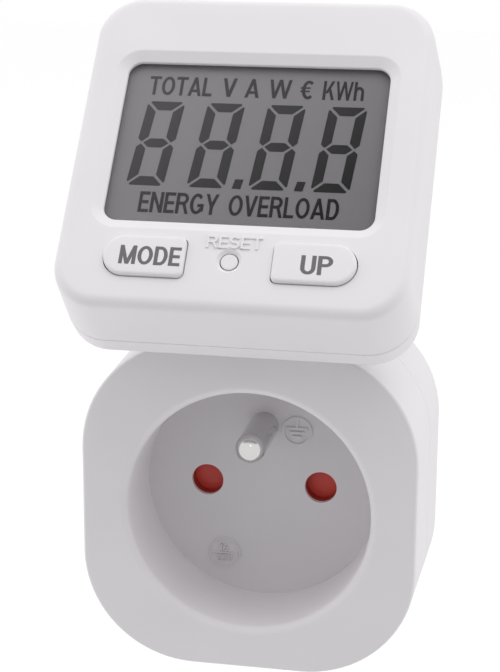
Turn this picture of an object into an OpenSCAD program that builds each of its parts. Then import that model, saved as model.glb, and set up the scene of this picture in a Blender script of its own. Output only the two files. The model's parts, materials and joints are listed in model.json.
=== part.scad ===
// Plug-in energy monitor: a through-socket of the French pattern with a tilting display head.
// Millimetres. Origin at the middle of the plug's face, +Y into the wall, +Z up.
// The socket faces -Y. Depths in the body count from the socket's front face,
// and depths in the head count from the head's front face.

/* [Socket body] */
// Width of the body's face beside the well
face_rim = 7.3; // [6.5:0.1:10]
// Corner radius of the body's outline
body_r = 18; // [12:0.5:22]
// Depth from the front face to the wall
body_d = 30; // [28:0.5:40]
// Growth of each side from front to back
body_draft = 0.6; // [0:0.1:1]
// Rounding of the front edge
front_round = 0.5; // [0.3:0.1:2]
// Rounding of the rear edge
rear_round = 2.4; // [0.5:0.1:4]
// Depth of the seam between the two shells
seam_d = 15.3; // [13:0.1:18]
// Wall of the two body shells
wall = 2.2; // [1.6:0.1:3]
// Height of the body's middle above the socket axis
body_rise = 0.45; // [0:0.05:2]
// Distance of the housing screws from the body's sides
screw_in = 8.3; // [7.5:0.1:9]
// Depth of the housing screws' seats behind the seam
screw_sink = 6.7; // [5:0.1:9]

/* [Socket well] */
// Radius of the well
well_r = 19.5; // [19:0.1:20.5]
// Depth of the well
well_d = 14.5; // [13:0.1:17]
// Rounding of the well's lip
lip_r = 1.3; // [0.4:0.1:1.8]
// Wall of the tube round the well
tube_t = 1.9; // [1.6:0.1:3]
// Thickness of the well's floor disc
floor_t = 2; // [1.6:0.1:3]
// Thickness of the floor in front of the shutter
floor_web = 0.8; // [0.6:0.1:1.2]
// Overlap of the floor's collar on the tube
collar_l = 2; // [1:0.1:4]
// Wall of the floor's collar
collar_t = 0.7; // [0.6:0.1:1]
// Distance between the two pin holes
pin_pitch = 19; // [17:0.1:21]
// Radius of the bores that the appliance's pins enter
pin_hole_r = 2.6; // [2.5:0.05:2.9]
// Height of the earth pin above the socket axis
earth_rise = 10; // [9:0.1:11]
// Radius of the earth pin
earth_r = 2.4; // [2.2:0.05:2.6]
// Length of the earth pin from the floor
earth_len = 14; // [12:0.1:14.5]
// Step from the earth pin down to its shank
earth_step = 0.4; // [0.2:0.1:0.8]

/* [Shutter] */
// Thickness of the housing's front
house_t = 1.8; // [1.4:0.1:2.4]
// Wall of the housing's rim
rim_t = 1; // [0.8:0.1:1.4]
// Radius of the stud that the rotor turns on
stud_r = 1.6; // [1.3:0.1:2]
// Overlap of the rotor's pads round the pin bores
pad_cover = 0.8; // [0.5:0.05:1]
// Thickness of the rotor
rotor_t = 1.4; // [1:0.1:1.8]
// Width of the rotor's arms
arm_w = 3.6; // [2.5:0.1:4.5]
// Wire radius of the shutter spring
spring_wire = 0.25; // [0.15:0.05:0.3]
// Thickness of the shutter's back plate
plate_t = 1.2; // [1:0.1:2]

/* [Plug] */
// Depth of the plug boss behind the body
boss_d = 15; // [13:0.1:17]
// Radius of the plug boss
boss_r = 18.4; // [17.5:0.1:19]
// Side wall of the plug boss
boss_wall = 2.4; // [1.6:0.1:3]
// End wall of the plug boss
boss_end = 2.5; // [2:0.1:3.5]
// Radius of the plug pins
plug_r = 2.4; // [2.2:0.05:2.6]
// Length of the plug pins from the boss
plug_len = 19; // [18:0.1:20]
// Radius of the collar that holds each plug pin
plug_collar_r = 3.6; // [3:0.1:4]
// Wall of the contact sleeves
sleeve_t = 0.85; // [0.5:0.05:1]
// Room past the end of an inserted pin
pin_room = 1.4; // [0.5:0.1:2]
// End wall of the contact sleeves
sleeve_end = 2; // [1:0.1:3]
// Width of the earth clips
clip_w = 6; // [4:0.1:8]
// Thickness of the earth clips
clip_t = 0.6; // [0.4:0.05:1]
// Bow of the earth clips
clip_bow = 1.2; // [0.4:0.1:1.6]
// Thickness of the earth strap
strap_t = 1; // [0.6:0.1:1.4]
// Width of the earth strap
strap_w = 5; // [4.2:0.1:5.4]

/* [Display head] */
// Width of the face beside the window
side_margin = 5.85; // [5.2:0.05:9]
// Height of the face above the window
top_margin = 11.7; // [8:0.1:14]
// Height of the face below the long keys
bottom_margin = 4.7; // [4:0.1:8]
// Corner radius of the head's outline
head_r = 7; // [5:0.1:10]
// Depth of the head
head_d = 15.2; // [14:0.1:20]
// Growth of each side from the face to the seam
head_draft = 0.6; // [0:0.1:1]
// Rounding of the face's edge
face_round = 1.6; // [0.6:0.1:2.4]
// Rounding of the back's edge
back_round = 0.6; // [0.3:0.1:1.5]
// Depth of the seam between the head's two shells
head_seam = 11.4; // [10.8:0.1:12.6]
// Wall of the head's shells
head_wall = 2; // [1.6:0.1:2.4]
// Distance of the head's screws from its sides
post_in = 4.2; // [4:0.1:5]
// Width of the display window
win_w = 40.3; // [38:0.1:41]
// Height of the display window
win_h = 27.5; // [25:0.1:28]
// Corner radius of the display window
win_r = 2.2; // [1:0.1:4]
// Width of the bevel round the window
bevel_w = 1.65; // [0.8:0.05:2]
// Depth of the bevel round the window
bevel_d = 0.9; // [0.6:0.1:1]

/* [Hinge] */
// Lean of the head from upright
tilt = 39.65; // [0:0.05:45]
// Depth of the hinge axis behind the socket's face
hinge_y = 4; // [3.6:0.1:6]
// Height of the hinge axis above the body
hinge_rise = 7.15; // [6:0.05:10]
// Distance of the hinge axis behind the head
hinge_back = 5; // [4.8:0.1:7]
// Drop of the hinge axis below the head's middle
hinge_drop = 14.4; // [12:0.1:16]
// Radius of the knuckle and of the ears
ear_r = 4.3; // [3.8:0.1:4.6]
// Width of the knuckle
knuckle_w = 20; // [16:0.1:22]
// Thickness of each ear
ear_t = 5.6; // [5.4:0.1:7]
// Radius of the hinge pivots
pivot_r = 2.2; // [2:0.05:2.4]
// Thickness of the friction washers
washer_t = 0.55; // [0.3:0.05:0.8]
// Thickness of the caps in the hinge bores
cap_t = 1; // [0.8:0.1:1.2]
// Radius of the bundle of wires
wire_r = 0.9; // [0.7:0.05:1]

/* [Keys] */
// Length of the two long keys
key_w = 12.1; // [10:0.1:13]
// Height of the two long keys
key_h = 6.3; // [5:0.1:6.4]
// Distance of the long keys' outer ends from the head's sides
key_side = 7.5; // [7:0.1:9]
// Corner radius at the square end of the long keys
key_corner = 0.9; // [0.3:0.1:2]
// Height of the long keys above the face
key_proud = 0.8; // [0.4:0.1:1.2]
// Radius of the reset key
reset_r = 1.25; // [1:0.05:1.6]
// Depth of the reset key's top below the face
reset_sink = 0.3; // [0.1:0.1:0.5]
// Width of the dish round the reset key
dish_w = 0.5; // [0.2:0.1:0.8]
// Depth of the dish round the reset key
dish_d = 0.45; // [0.2:0.05:0.8]
// Overhang of the keys' flanges behind the face
key_flange = 0.5; // [0.3:0.05:0.5]
// Thickness of the keys' flanges
flange_t = 1; // [0.6:0.1:1.2]
// Travel of the keys
key_travel = 0.5; // [0.3:0.05:0.6]
// Side of the key switches
switch_w = 6; // [4.5:0.1:6.4]
// Height of the key switches
switch_h = 2.5; // [2:0.1:2.6]
// Radius of the switch plungers
plunger_r = 1.5; // [1:0.1:1.7]

/* [Display] */
// Thickness of the clear lens in the window
lens_t = 0.65; // [0.5:0.05:0.7]
// Rim of the lens behind the window's edge
lens_rim = 0.6; // [0.4:0.1:0.8]
// Thickness of the display panel
lcd_t = 2.4; // [2:0.1:2.6]
// Border of the display panel round the window
lcd_edge = 1.55; // [1:0.05:1.6]
// Wall of the frame that holds the panel
frame_t = 1; // [0.6:0.1:1]
// Depth of the display board's front
board_w0 = 7; // [6.8:0.1:7.6]
// Thickness of the display board
board_t = 1.2; // [0.8:0.1:1.6]
// Width of the elastomer contact strips
zebra_w = 2; // [1.5:0.1:2.4]
// Radius of the backup cell
cell_r = 6.2; // [5:0.1:6.8]
// Thickness of the backup cell
cell_t = 2.2; // [1.6:0.1:2.6]

/* [Boards and screws] */
// Width of the film capacitor
film_w = 7; // [4:0.1:8]
// Length of the film capacitor
film_l = 9; // [6:0.1:14]
// Radius of the smoothing capacitor
smooth_r = 3.2; // [2:0.1:3.6]
// Length of the smoothing capacitor
smooth_l = 10; // [6:0.1:14]
// Length of the current shunt
shunt_l = 8; // [6:0.1:10]
// Width of the metering chip
chip_w = 6; // [4:0.1:8]
// Width of the display chip
glass_chip_w = 10; // [6:0.1:12]
// Thickness of the metering board
meter_t = 1.6; // [1:0.1:2]
// Gap between the shutter plate and the metering board
meter_gap = 1.4; // [1:0.1:2]
// Gap between the metering board and the shells
meter_edge = 1.6; // [1:0.1:3]
// Shank radius of the housing screws
screw_r = 1.4; // [1.2:0.1:1.5]
// Head radius of the housing screws
screw_head_r = 2.2; // [2:0.1:2.3]
// Head height of the housing screws
screw_head_h = 2; // [1.4:0.1:2.4]
// Length of the housing screws under the head
screw_len = 14; // [11:0.5:16]
// Shank radius of the head's screws
small_r = 1.2; // [1:0.1:1.3]
// Head radius of the head's screws
small_head_r = 2.1; // [1.8:0.1:2.2]
// Head height of the head's screws
small_head_h = 1.4; // [1:0.1:1.6]
// Length of the head's screws under the head
small_len = 8; // [6:0.5:8.5]

/* [Hidden] */
$fn = 48;

// clearances: running on shafts, sliding in openings, loose round wires and screws
run = 0.05;
slide = 0.15;
loose = 0.3;
// overshoot of cuts, and thickness of a loft's sections
over = 0.2;
skin = 0.01;
arc_steps = 5;

white = [0.92, 0.92, 0.93];
off_white = [0.86, 0.86, 0.88];
red = [0.55, 0.10, 0.09];
nickel = [0.80, 0.79, 0.76];
brass = [0.80, 0.65, 0.33];
steel = [0.60, 0.61, 0.63];
board_green = [0.10, 0.32, 0.18];
black = [0.10, 0.10, 0.11];
grey = [0.52, 0.51, 0.53];

// socket stack, depths from the front face
front_y = -(body_d + boss_d);
body_w = 2 * (well_r + face_rim);
body_h = body_w;
body_top = body_rise + body_h / 2;
floor_back = well_d + floor_t;
tube_r = well_r + tube_t;
pin_x = pin_pitch / 2;
pad_r = pin_hole_r + pad_cover;
shank_r = earth_r - earth_step;
house_r = pin_x + pad_r + loose + rim_t;
house_front = well_d + floor_web;
house_back = house_front + house_t;
rotor_front = house_back + slide;
rotor_back = rotor_front + rotor_t;
coil_pitch = 1.7 * spring_wire;
spring_back = rotor_back + 2 * spring_wire + coil_pitch;
plate_front = spring_back + loose;
plate_back = plate_front + plate_t;
sleeve_bore = plug_r + run;
sleeve_r = sleeve_bore + sleeve_t;
meter_front = plate_back + meter_gap;
meter_back = meter_front + meter_t;
sleeve_front = plate_back + loose;
root_step = 0.4;
root_r = plug_r + root_step;
sleeve_stop = well_d + plug_len + pin_room;
sleeve_back = sleeve_stop + sleeve_end;
boss_face = body_d + boss_d;
boss_floor = boss_face - boss_end;
boss_bore = boss_r - boss_wall;
slit_w = 0.6;
rear_wall = body_d - wall;
strap_clear = 0.5;
strap_back = rear_wall - strap_clear;
strap_front = strap_back - strap_t;
cup_floor = 1.2;
cup_sink = 0.4;
clip_floor = 1.1;
clip_flat = 1;
clip_tail = 1.5;
clip_z = boss_bore + clip_floor;
rivet = 1;
shank_end = strap_back + rivet;
part_gap = 0.9;
smooth_turn = -37;
chip_t = 1.4;

// housing screws
screw_x = body_w / 2 - screw_in;
screw_seat = seam_d + screw_sink;
post_t = 0.6;
post_r = screw_head_r + loose + post_t;
tip_room = 1;
meter_w = body_w - 2 * wall - 2 * meter_edge;
meter_h = body_h - 2 * wall - 2 * meter_edge;
meter_r = body_r - wall - meter_edge;

// hinge
hinge_z = body_top + hinge_rise;
hinge_w = head_d + hinge_back;
hinge_v = -hinge_drop;
ear_x = knuckle_w / 2 + washer_t + run;
ear_end = ear_x + ear_t;
loom_r = wire_r + loose;
loom_x = ear_end - cap_t - loom_r;
tube_end = loom_x - loom_r - slide;
tube_grip = 5;
pin_grip = 6;
wire_in = 1;
wire_turn = 2;
loom_drop = 3.75;
tube_in = knuckle_w / 2 - tube_grip;
pin_in = knuckle_w / 2 - pin_grip;
wire_meet = knuckle_w / 2 - wire_in;
head_wire_x = tube_in - wire_turn;
loom_z = body_top - wall - loom_drop;
header_w = 6;
header_h = 4;
header_t = 2.5;

// head stack, depths from the face
lcd_front = head_wall;
lens_front = lcd_front - lens_t;
lcd_back = lcd_front + lcd_t;
lcd_w = win_w + 2 * lcd_edge;
lcd_h = win_h + 2 * lcd_edge;
key_gap = lcd_edge + frame_t + key_flange + slide;
head_w = win_w + 2 * side_margin;
head_h = top_margin + win_h + key_gap + key_h + bottom_margin;
win_v = head_h / 2 - top_margin - win_h / 2;
key_u = head_w / 2 - key_side - key_w / 2;
key_v = head_h / 2 - bottom_margin - key_h / 2;
board_w1 = board_w0 + board_t;
back_inner = head_d - head_wall;
post_x = head_w / 2 - post_in;
post_v = head_h / 2 - post_in;
small_post_t = 1.4;
small_post_r = small_r + small_post_t;
post_step = 0.4;
board_gap = 1;
zebra_in = 1.5;
zebra_edge = 0.5;
board_x = post_x - small_post_r - loose;
board_v = post_v - small_post_r - loose;
board_half_w = head_w / 2 - head_wall - board_gap;
board_half_h = head_h / 2 - head_wall - board_gap;
flange_front = head_wall + slide;
switch_top = board_w0 - switch_h;
plunger_top = switch_top - key_travel - slide;
plunger_l = 1.4;

function grow(d) = 2 * body_draft * d / body_d;
function body_sec(d, in) = [d, body_w + grow(d) - 2 * in, body_h + grow(d) - 2 * in, body_r - in];
function head_grow(d) = 2 * head_draft * min(d, head_seam) / head_seam;
function head_sec(d, in) =
    [d, head_w + head_grow(d) - 2 * in, head_h + head_grow(d) - 2 * in, head_r - in];
function bevel_sec(d) = let (b = bevel_w * (1 - d / bevel_d))
    [d, win_w + 2 * b, win_h + 2 * b, win_r + b];
// steps of a quarter round, as [depth, inset] from the outer face inwards
function quarter(r) = [for (i = [0 : arc_steps]) let (a = 90 * i / arc_steps)
    [r * (1 - cos(a)), r * (1 - sin(a))]];

module in_body() translate([0, front_y, 0]) children();

module in_head()
    translate([0, front_y + hinge_y, hinge_z]) rotate([-tilt, 0, 0])
        translate([0, -hinge_w, -hinge_v]) children();

module at_rise() translate([0, 0, body_rise]) children();

// solid between two depths, from a plan as seen from the front
module slab(from, to)
    translate([0, to, 0]) rotate([90, 0, 0]) linear_extrude(height = to - from) children();

// solid between two places along X, from a side view in depth and height
module bar_x(from, to)
    translate([from, 0, 0]) rotate([90, 0, 90]) linear_extrude(height = to - from) children();

// solid of revolution about the depth axis, from a profile in radius and depth
module revolve() rotate([-90, 0, 0]) rotate_extrude() children();

module rod(r, from, to, x = 0, z = 0)
    translate([x, to, z]) rotate([90, 0, 0]) cylinder(r = r, h = to - from);

module cone(r_from, r_to, from, to, x = 0, z = 0)
    translate([x, from, z]) rotate([-90, 0, 0]) cylinder(r1 = r_from, r2 = r_to, h = to - from);

module rod_x(r, from, to, y = 0, z = 0)
    translate([from, y, z]) rotate([0, 90, 0]) cylinder(r = r, h = to - from);

module block(w, h, from, to, x = 0, z = 0)
    translate([x - w / 2, from, z - h / 2]) cube([w, to - from, h]);

module plan(w, h, r) {
    square([w - 2 * r, h], center = true);
    square([w, h - 2 * r], center = true);
    for (x = [-1, 1], y = [-1, 1]) translate([x * (w / 2 - r), y * (h / 2 - r)]) circle(r);
}

// skin over sections of [depth, width, height, corner radius]
module loft(rows)
    hull() for (s = rows) let (d = s[0] == rows[0][0] ? s[0] : s[0] - skin)
        slab(d, d + skin) plan(s[1], s[2], s[3]);

module at_corners(x, z) for (i = [-1, 1], j = [-1, 1]) translate([i * x, 0, j * z]) children();

module screw(r, head_r, head_h, seat, length) difference() {
    union() {
        rod(r, seat - length, seat);
        rod(head_r, seat, seat + head_h);
    }
    for (a = [0, 90]) translate([0, seat + head_h / 2, 0]) rotate([0, a, 0])
        block(head_r, head_r / 4, 0, head_h);
}

module ear_side() {
    translate([hinge_y, hinge_z]) circle(ear_r);
    polygon([
        [hinge_y - ear_r, hinge_z], [hinge_y + ear_r, hinge_z],
        [hinge_y + 1.5 * ear_r, body_top - wall - ear_r / 2],
        [wall / 2, body_top - wall - ear_r / 2]
    ]);
}

module socket_front_shell() color(white) in_body() difference() {
    union() {
        difference() {
            union() {
                at_rise() loft(concat(
                    [for (q = quarter(front_round)) body_sec(q[0], q[1])], [body_sec(seam_d, 0)]));
                for (x = [-ear_end, ear_x]) bar_x(x, x + ear_t) ear_side();
            }
            at_rise() loft([body_sec(wall, wall), body_sec(seam_d + over, wall)]);
            rod(well_r + lip_r, -over, wall + over);
        }
        revolve() {
            translate([well_r + lip_r, 0]) square([tube_t - lip_r, well_d]);
            translate([well_r, lip_r]) square([lip_r, well_d - lip_r]);
            translate([well_r + lip_r, lip_r]) circle(lip_r);
        }
        at_rise() at_corners(screw_x, screw_x) rod(post_r, wall / 2, seam_d);
    }
    at_rise() at_corners(screw_x, screw_x)
        rod(screw_r, screw_seat - screw_len - tip_room, seam_d + over);
    rod_x(pivot_r + run, -ear_end - over, ear_end + over, hinge_y, hinge_z);
    translate([-loom_x, hinge_y, loom_z]) cylinder(r = loom_r, h = hinge_z - loom_z);
}

module socket_floor() color(off_white) in_body() difference() {
    revolve() {
        translate([0, well_d]) square([tube_r + collar_t, floor_t]);
        translate([tube_r, well_d - collar_l]) square([collar_t, collar_l + floor_t]);
    }
    rod(house_r + run, house_front, floor_back + over);
    for (x = [-pin_x, pin_x]) rod(pin_hole_r + run, well_d - over, floor_back, x);
    rod(shank_r, well_d - over, floor_back, 0, earth_rise);
}

module socket_rear_shell() color(white) in_body() difference() {
    union() {
        difference() {
            union() {
                at_rise() loft(concat([body_sec(seam_d, 0)],
                    [for (i = [arc_steps : -1 : 0]) let (q = quarter(rear_round)[i])
                        body_sec(body_d - q[0], q[1])]));
                rod(boss_r, rear_wall, boss_face);
            }
            at_rise() loft([body_sec(seam_d - over, wall), body_sec(rear_wall, wall)]);
            rod(boss_bore, rear_wall - over, boss_floor);
        }
        at_rise() at_corners(screw_x, screw_x) rod(post_r, seam_d, body_d - rear_round / 2);
    }
    at_rise() at_corners(screw_x, screw_x) {
        rod(screw_r + loose / 2, seam_d - over, body_d);
        rod(screw_head_r + loose, screw_seat, body_d + over);
    }
    for (x = [-pin_x, pin_x]) rod(root_r, boss_floor - over, boss_face + over, x);
    rod(sleeve_r, boss_floor - over, boss_face + over, 0, earth_rise);
    for (s = [-1, 1]) {
        block(clip_w + loose, 2 * boss_r, body_d, boss_face + over, 0, s * (clip_z + boss_r));
        block(clip_w + loose, clip_t + slide, rear_wall - over, body_d + over,
            0, s * (clip_z + (clip_t + slide) / 2));
    }
}

module shutter_housing() color(red) in_body() difference() {
    union() {
        rod(house_r, house_front, house_back);
        revolve() translate([house_r - rim_t, house_front]) square([rim_t, plate_front - house_front]);
        rod(stud_r, house_back, plate_back);
    }
    for (x = [-pin_x, pin_x]) rod(pin_hole_r, house_front - over, house_back + over, x);
    rod(shank_r + slide, house_front - over, house_back + over, 0, earth_rise);
}

module shutter_rotor() color(red) in_body() difference() {
    union() {
        for (x = [-pin_x, 0, pin_x]) rod(pad_r, rotor_front, rotor_back, x);
        block(pin_pitch, arm_w, rotor_front, rotor_back);
        rod(stud_r / 3, rotor_back, plate_front - slide, pin_x / 2);
    }
    rod(stud_r + run, rotor_front - over, rotor_back + over);
}

module shutter_spring() color(steel) in_body() {
    coil_r = stud_r + run + 2 * spring_wire;
    revolve() for (i = [0, 1])
        translate([coil_r, rotor_back + spring_wire + coil_pitch * i]) circle(spring_wire);
    translate([0, rotor_back + spring_wire, stud_r / 3 + spring_wire])
        rod_x(spring_wire, coil_r, pin_x / 2 + stud_r / 3);
}

module shutter_plate() color(off_white) in_body() difference() {
    rod(house_r, plate_front, plate_back);
    for (x = [-pin_x, pin_x]) rod(pin_hole_r + slide, plate_front - over, plate_back + over, x);
    rod(shank_r + slide, plate_front - over, plate_back + over, 0, earth_rise);
    rod(stud_r, plate_front - over, plate_back + over);
}

module earth_pin() color(nickel) in_body() translate([0, 0, earth_rise]) {
    rod(earth_r, well_d - earth_len + earth_r, well_d);
    translate([0, well_d - earth_len + earth_r, 0]) sphere(earth_r);
    rod(shank_r, well_d, shank_end);
}

module contact(x) color(brass) in_body() translate([x, 0, 0]) difference() {
    rod(sleeve_r, sleeve_front, sleeve_back);
    rod(sleeve_bore, sleeve_front - over, sleeve_stop);
    rod(plug_r / 2, sleeve_stop - over, sleeve_back + over);
    for (a = [0, 90]) rotate([0, a, 0])
        block(2 * sleeve_r + over, slit_w, sleeve_front - over, sleeve_front + pin_pitch / 2);
}

module live_contact() contact(pin_x);

module neutral_contact() contact(-pin_x);

module plug_pin(x) color(nickel) in_body() translate([x, 0, 0]) {
    rod(plug_r / 2, sleeve_stop, sleeve_back);
    rod(plug_collar_r, sleeve_back, boss_floor);
    rod(root_r, boss_floor, boss_face);
    rod(plug_r, boss_face, boss_face + plug_len - plug_r);
    translate([0, boss_face + plug_len - plug_r, 0]) sphere(plug_r);
}

module live_plug_pin() plug_pin(pin_x);

module neutral_plug_pin() plug_pin(-pin_x);

module plug_earth_sleeve() color(brass) in_body() translate([0, 0, earth_rise]) difference() {
    rod(sleeve_r, strap_back, boss_face - cup_sink);
    rod(sleeve_bore, shank_end + cup_floor, boss_face);
    rod(shank_r, strap_back - over, shank_end);
}

module earth_strap() color(brass) in_body() difference() {
    block(strap_w, 2 * clip_z, strap_front, strap_back);
    rod(shank_r, strap_front - over, strap_back + over, 0, earth_rise);
}

// side view of one clip: flat where it meets the strap, bowed along the boss
module clip_side() {
    from = strap_front;
    bow_from = body_d + clip_flat;
    bow_to = boss_face - clip_tail;
    steps = 16;
    line = concat([[from, clip_z]], [for (i = [0 : steps])
        [bow_from + (bow_to - bow_from) * i / steps, clip_z + clip_bow * pow(sin(180 * i / steps), 2)]]);
    count = len(line);
    polygon(concat(line, [for (i = [count - 1 : -1 : 0]) line[i] + [0, clip_t]]));
}

module earth_clips() color(nickel) in_body() for (a = [0, 180]) rotate([0, a, 0])
    bar_x(-clip_w / 2, clip_w / 2) clip_side();

module metering_board() color(board_green) in_body() difference() {
    at_rise() slab(meter_front, meter_back) plan(meter_w, meter_h, meter_r);
    for (x = [-pin_x, pin_x]) rod(sleeve_r, meter_front - over, meter_back + over, x);
    rod(shank_r + slide, meter_front - over, meter_back + over, 0, earth_rise);
    at_rise() at_corners(screw_x, screw_x)
        rod(post_r + loose, meter_front - over, meter_back + over);
}

// as tall as the boss leaves between the contact and its wall
module film_capacitor() color(grey) in_body() {
    x = strap_w / 2 + part_gap;
    top = sleeve_r + part_gap;
    bottom = sqrt(pow(boss_bore - part_gap, 2) - pow(x + film_w, 2));
    translate([x, meter_back, -bottom]) cube([film_w, film_l, bottom - top]);
}

module smoothing_capacitor() color(black) in_body() rotate([0, -smooth_turn, 0])
    rod(smooth_r, meter_back, meter_back + smooth_l, 0, part_gap + smooth_r - boss_bore);

module current_shunt() color(brass) in_body() translate([pin_x, 0, sleeve_r + 5 * part_gap])
    difference() {
        block(shunt_l, shunt_l / 3, meter_back, meter_back + shunt_l / 3);
        block(shunt_l * 0.6, shunt_l, meter_back - over, meter_back + shunt_l / 5);
    }

module metering_chip() color(black) in_body()
    block(chip_w, chip_w, meter_back, meter_back + chip_t, -pin_x, sleeve_r + chip_w / 2 + part_gap);

module base_loom() color(grey) in_body() {
    rod_x(wire_r, -loom_x, -wire_meet, hinge_y, hinge_z);
    translate([-loom_x, hinge_y, hinge_z]) sphere(wire_r);
    translate([-loom_x, hinge_y, loom_z]) cylinder(r = wire_r, h = hinge_z - loom_z);
    translate([-loom_x, hinge_y, loom_z]) sphere(wire_r);
    rod(wire_r, hinge_y, meter_front, -loom_x, loom_z);
}

module housing_screws() color(steel) in_body() at_rise() at_corners(screw_x, screw_x)
    screw(screw_r, screw_head_r, screw_head_h, screw_seat, screw_len);

module hinge_caps() color(white) in_body() for (x = [-ear_end, ear_end - cap_t])
    rod_x(pivot_r + run, x, x + cap_t, hinge_y, hinge_z);

// plan of a long key: round at its outer end, square at its inner end
module key_plan(extra) {
    h = key_h / 2 + extra;
    l = key_w / 2 + extra;
    c = key_corner + extra;
    translate([l - h, 0]) circle(h);
    translate([c - l, -h]) square([2 * l - h - c, 2 * h]);
    translate([-l, c - h]) square([c, 2 * (h - c)]);
    for (y = [-1, 1]) translate([c - l, y * (h - c)]) circle(c);
}

// side +1 is the right key
module at_key(side) translate([side * key_u, 0, -key_v]) scale_side(side) children();

module scale_side(side) if (side > 0) children(); else mirror([1, 0, 0]) children();

// the window's outline, grown outwards
module window_plan(grow) plan(win_w + 2 * grow, win_h + 2 * grow, win_r + grow);

module head_bezel() color(white) in_head() difference() {
    union() {
        difference() {
            loft(concat([for (q = quarter(face_round)) head_sec(q[0], q[1])],
                [head_sec(head_seam, 0)]));
            loft([head_sec(head_wall, head_wall), head_sec(head_seam + over, head_wall)]);
        }
        at_corners(post_x, post_v) rod(small_post_r, head_wall / 2, head_seam);
    }
    translate([0, 0, win_v]) {
        loft([bevel_sec(-over), bevel_sec(bevel_d)]);
        slab(0, head_wall) window_plan(0);
        slab(lens_front, head_wall + over) window_plan(lens_rim);
    }
    for (s = [-1, 1]) at_key(s) slab(-over, head_wall + over) key_plan(slide);
    rod(reset_r + slide, -over, head_wall + over, 0, -key_v);
    cone(reset_r + slide + dish_w * (1 + over / dish_d), reset_r + slide, -over, dish_d, 0, -key_v);
    at_corners(post_x, post_v) rod(small_r, back_inner - small_len - tip_room / 2, head_seam + over);
}

module knuckle_side() {
    translate([hinge_w, hinge_v]) circle(ear_r);
    polygon([
        [back_inner + head_wall / 2, hinge_v - ear_r], [hinge_w, hinge_v - ear_r],
        [hinge_w, hinge_v + ear_r], [back_inner + head_wall / 2, hinge_v + 2.4 * ear_r]
    ]);
}

module head_back() color(white) in_head() difference() {
    union() {
        difference() {
            loft(concat([head_sec(head_seam, 0)],
                [for (i = [arc_steps : -1 : 0]) let (q = quarter(back_round)[i])
                    head_sec(head_d - q[0], q[1])]));
            loft([head_sec(head_seam - over, head_wall), head_sec(back_inner, head_wall)]);
        }
        at_corners(post_x, post_v) rod(small_post_r + post_step, head_seam, back_inner + head_wall / 2);
        bar_x(-knuckle_w / 2, knuckle_w / 2) knuckle_side();
    }
    at_corners(post_x, post_v) {
        rod(small_r + loose / 2, head_seam - over, head_d);
        rod(small_head_r + loose, back_inner, head_d + over);
    }
    rod_x(pivot_r, -knuckle_w / 2 - over, -tube_in, hinge_w, hinge_v);
    rod_x(pivot_r, pin_in, knuckle_w / 2 + over, hinge_w, hinge_v);
    rod_x(loom_r, -tube_in - over, -head_wire_x + loom_r, hinge_w, hinge_v);
    rod(loom_r, back_inner - over, hinge_w, -head_wire_x, hinge_v);
}

module window_lens() color(off_white) in_head() translate([0, 0, win_v])
    slab(lens_front, lcd_front) window_plan(lens_rim - run);

module lcd_panel() color(grey) in_head() translate([0, 0, win_v])
    slab(lcd_front, lcd_back) square([lcd_w - 2 * run, lcd_h - 2 * run], center = true);

module lcd_frame() color(off_white) in_head() translate([0, 0, win_v])
    slab(lcd_front, board_w0) difference() {
        square([lcd_w + 2 * frame_t, lcd_h + 2 * frame_t], center = true);
        square([lcd_w, lcd_h], center = true);
    }

module zebra_strips() color(black) in_head() translate([0, 0, win_v]) for (s = [-1, 1])
    block(lcd_w - 2 * zebra_in, zebra_w, lcd_back, board_w0, 0, s * ((lcd_h - zebra_w) / 2 - zebra_edge));

module display_board() color(board_green) in_head() slab(board_w0, board_w1) {
    square(2 * [board_half_w, board_v], center = true);
    square(2 * [board_x, board_half_h], center = true);
}

module display_chip() color(black) in_head()
    block(glass_chip_w, glass_chip_w, board_w1, board_w1 + chip_t, -board_half_w / 2, win_v);

module key_switches() color(black) in_head() for (x = [-key_u, 0, key_u]) difference() {
    block(switch_w, switch_w, switch_top, board_w0, x, -key_v);
    rod(plunger_r + slide, switch_top - over, plunger_top + plunger_l + key_travel + slide, x, -key_v);
}

module backup_cell() color(steel) in_head()
    rod(cell_r, board_w1, board_w1 + cell_t, board_half_w / 2, win_v);

module cell_clip() color(nickel) in_head() translate([board_half_w / 2, 0, win_v]) difference() {
    block(2 * (cell_r + clip_t), clip_w, board_w1, board_w1 + cell_t + clip_t);
    block(2 * cell_r, clip_w + over, board_w1 - over, board_w1 + cell_t);
}

module head_screws() color(steel) in_head() at_corners(post_x, post_v)
    screw(small_r, small_head_r, small_head_h, back_inner, small_len);

module hinge_tube() color(nickel) in_head() difference() {
    rod_x(pivot_r, -tube_end, -tube_in, hinge_w, hinge_v);
    rod_x(loom_r, -tube_end - over, -tube_in + over, hinge_w, hinge_v);
}

module hinge_pin() color(nickel) in_head()
    rod_x(pivot_r, pin_in, ear_end - cap_t - slide, hinge_w, hinge_v);

module friction_washers() color(steel) in_head() for (x = [-knuckle_w / 2 - washer_t, knuckle_w / 2])
    difference() {
        rod_x(ear_r - loose, x, x + washer_t, hinge_w, hinge_v);
        rod_x(pivot_r + run, x - over, x + washer_t + over, hinge_w, hinge_v);
    }

module head_loom() color(grey) in_head() {
    rod_x(wire_r, -wire_meet, -head_wire_x, hinge_w, hinge_v);
    translate([-head_wire_x, hinge_w, hinge_v]) sphere(wire_r);
    rod(wire_r, board_w1 + header_t, hinge_w, -head_wire_x, hinge_v);
}

module head_header() color(off_white) in_head()
    block(header_w, header_h, board_w1, board_w1 + header_t, -head_wire_x, hinge_v);

module long_key(side) color(white) in_head() at_key(side) {
    slab(-key_proud, flange_front + flange_t) key_plan(0);
    slab(flange_front, flange_front + flange_t) key_plan(key_flange);
    rod(plunger_r, flange_front, plunger_top);
}

module plunger(x) color(black) in_head() rod(plunger_r, plunger_top, plunger_top + plunger_l, x, -key_v);

module mode_button() long_key(-1);

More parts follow.
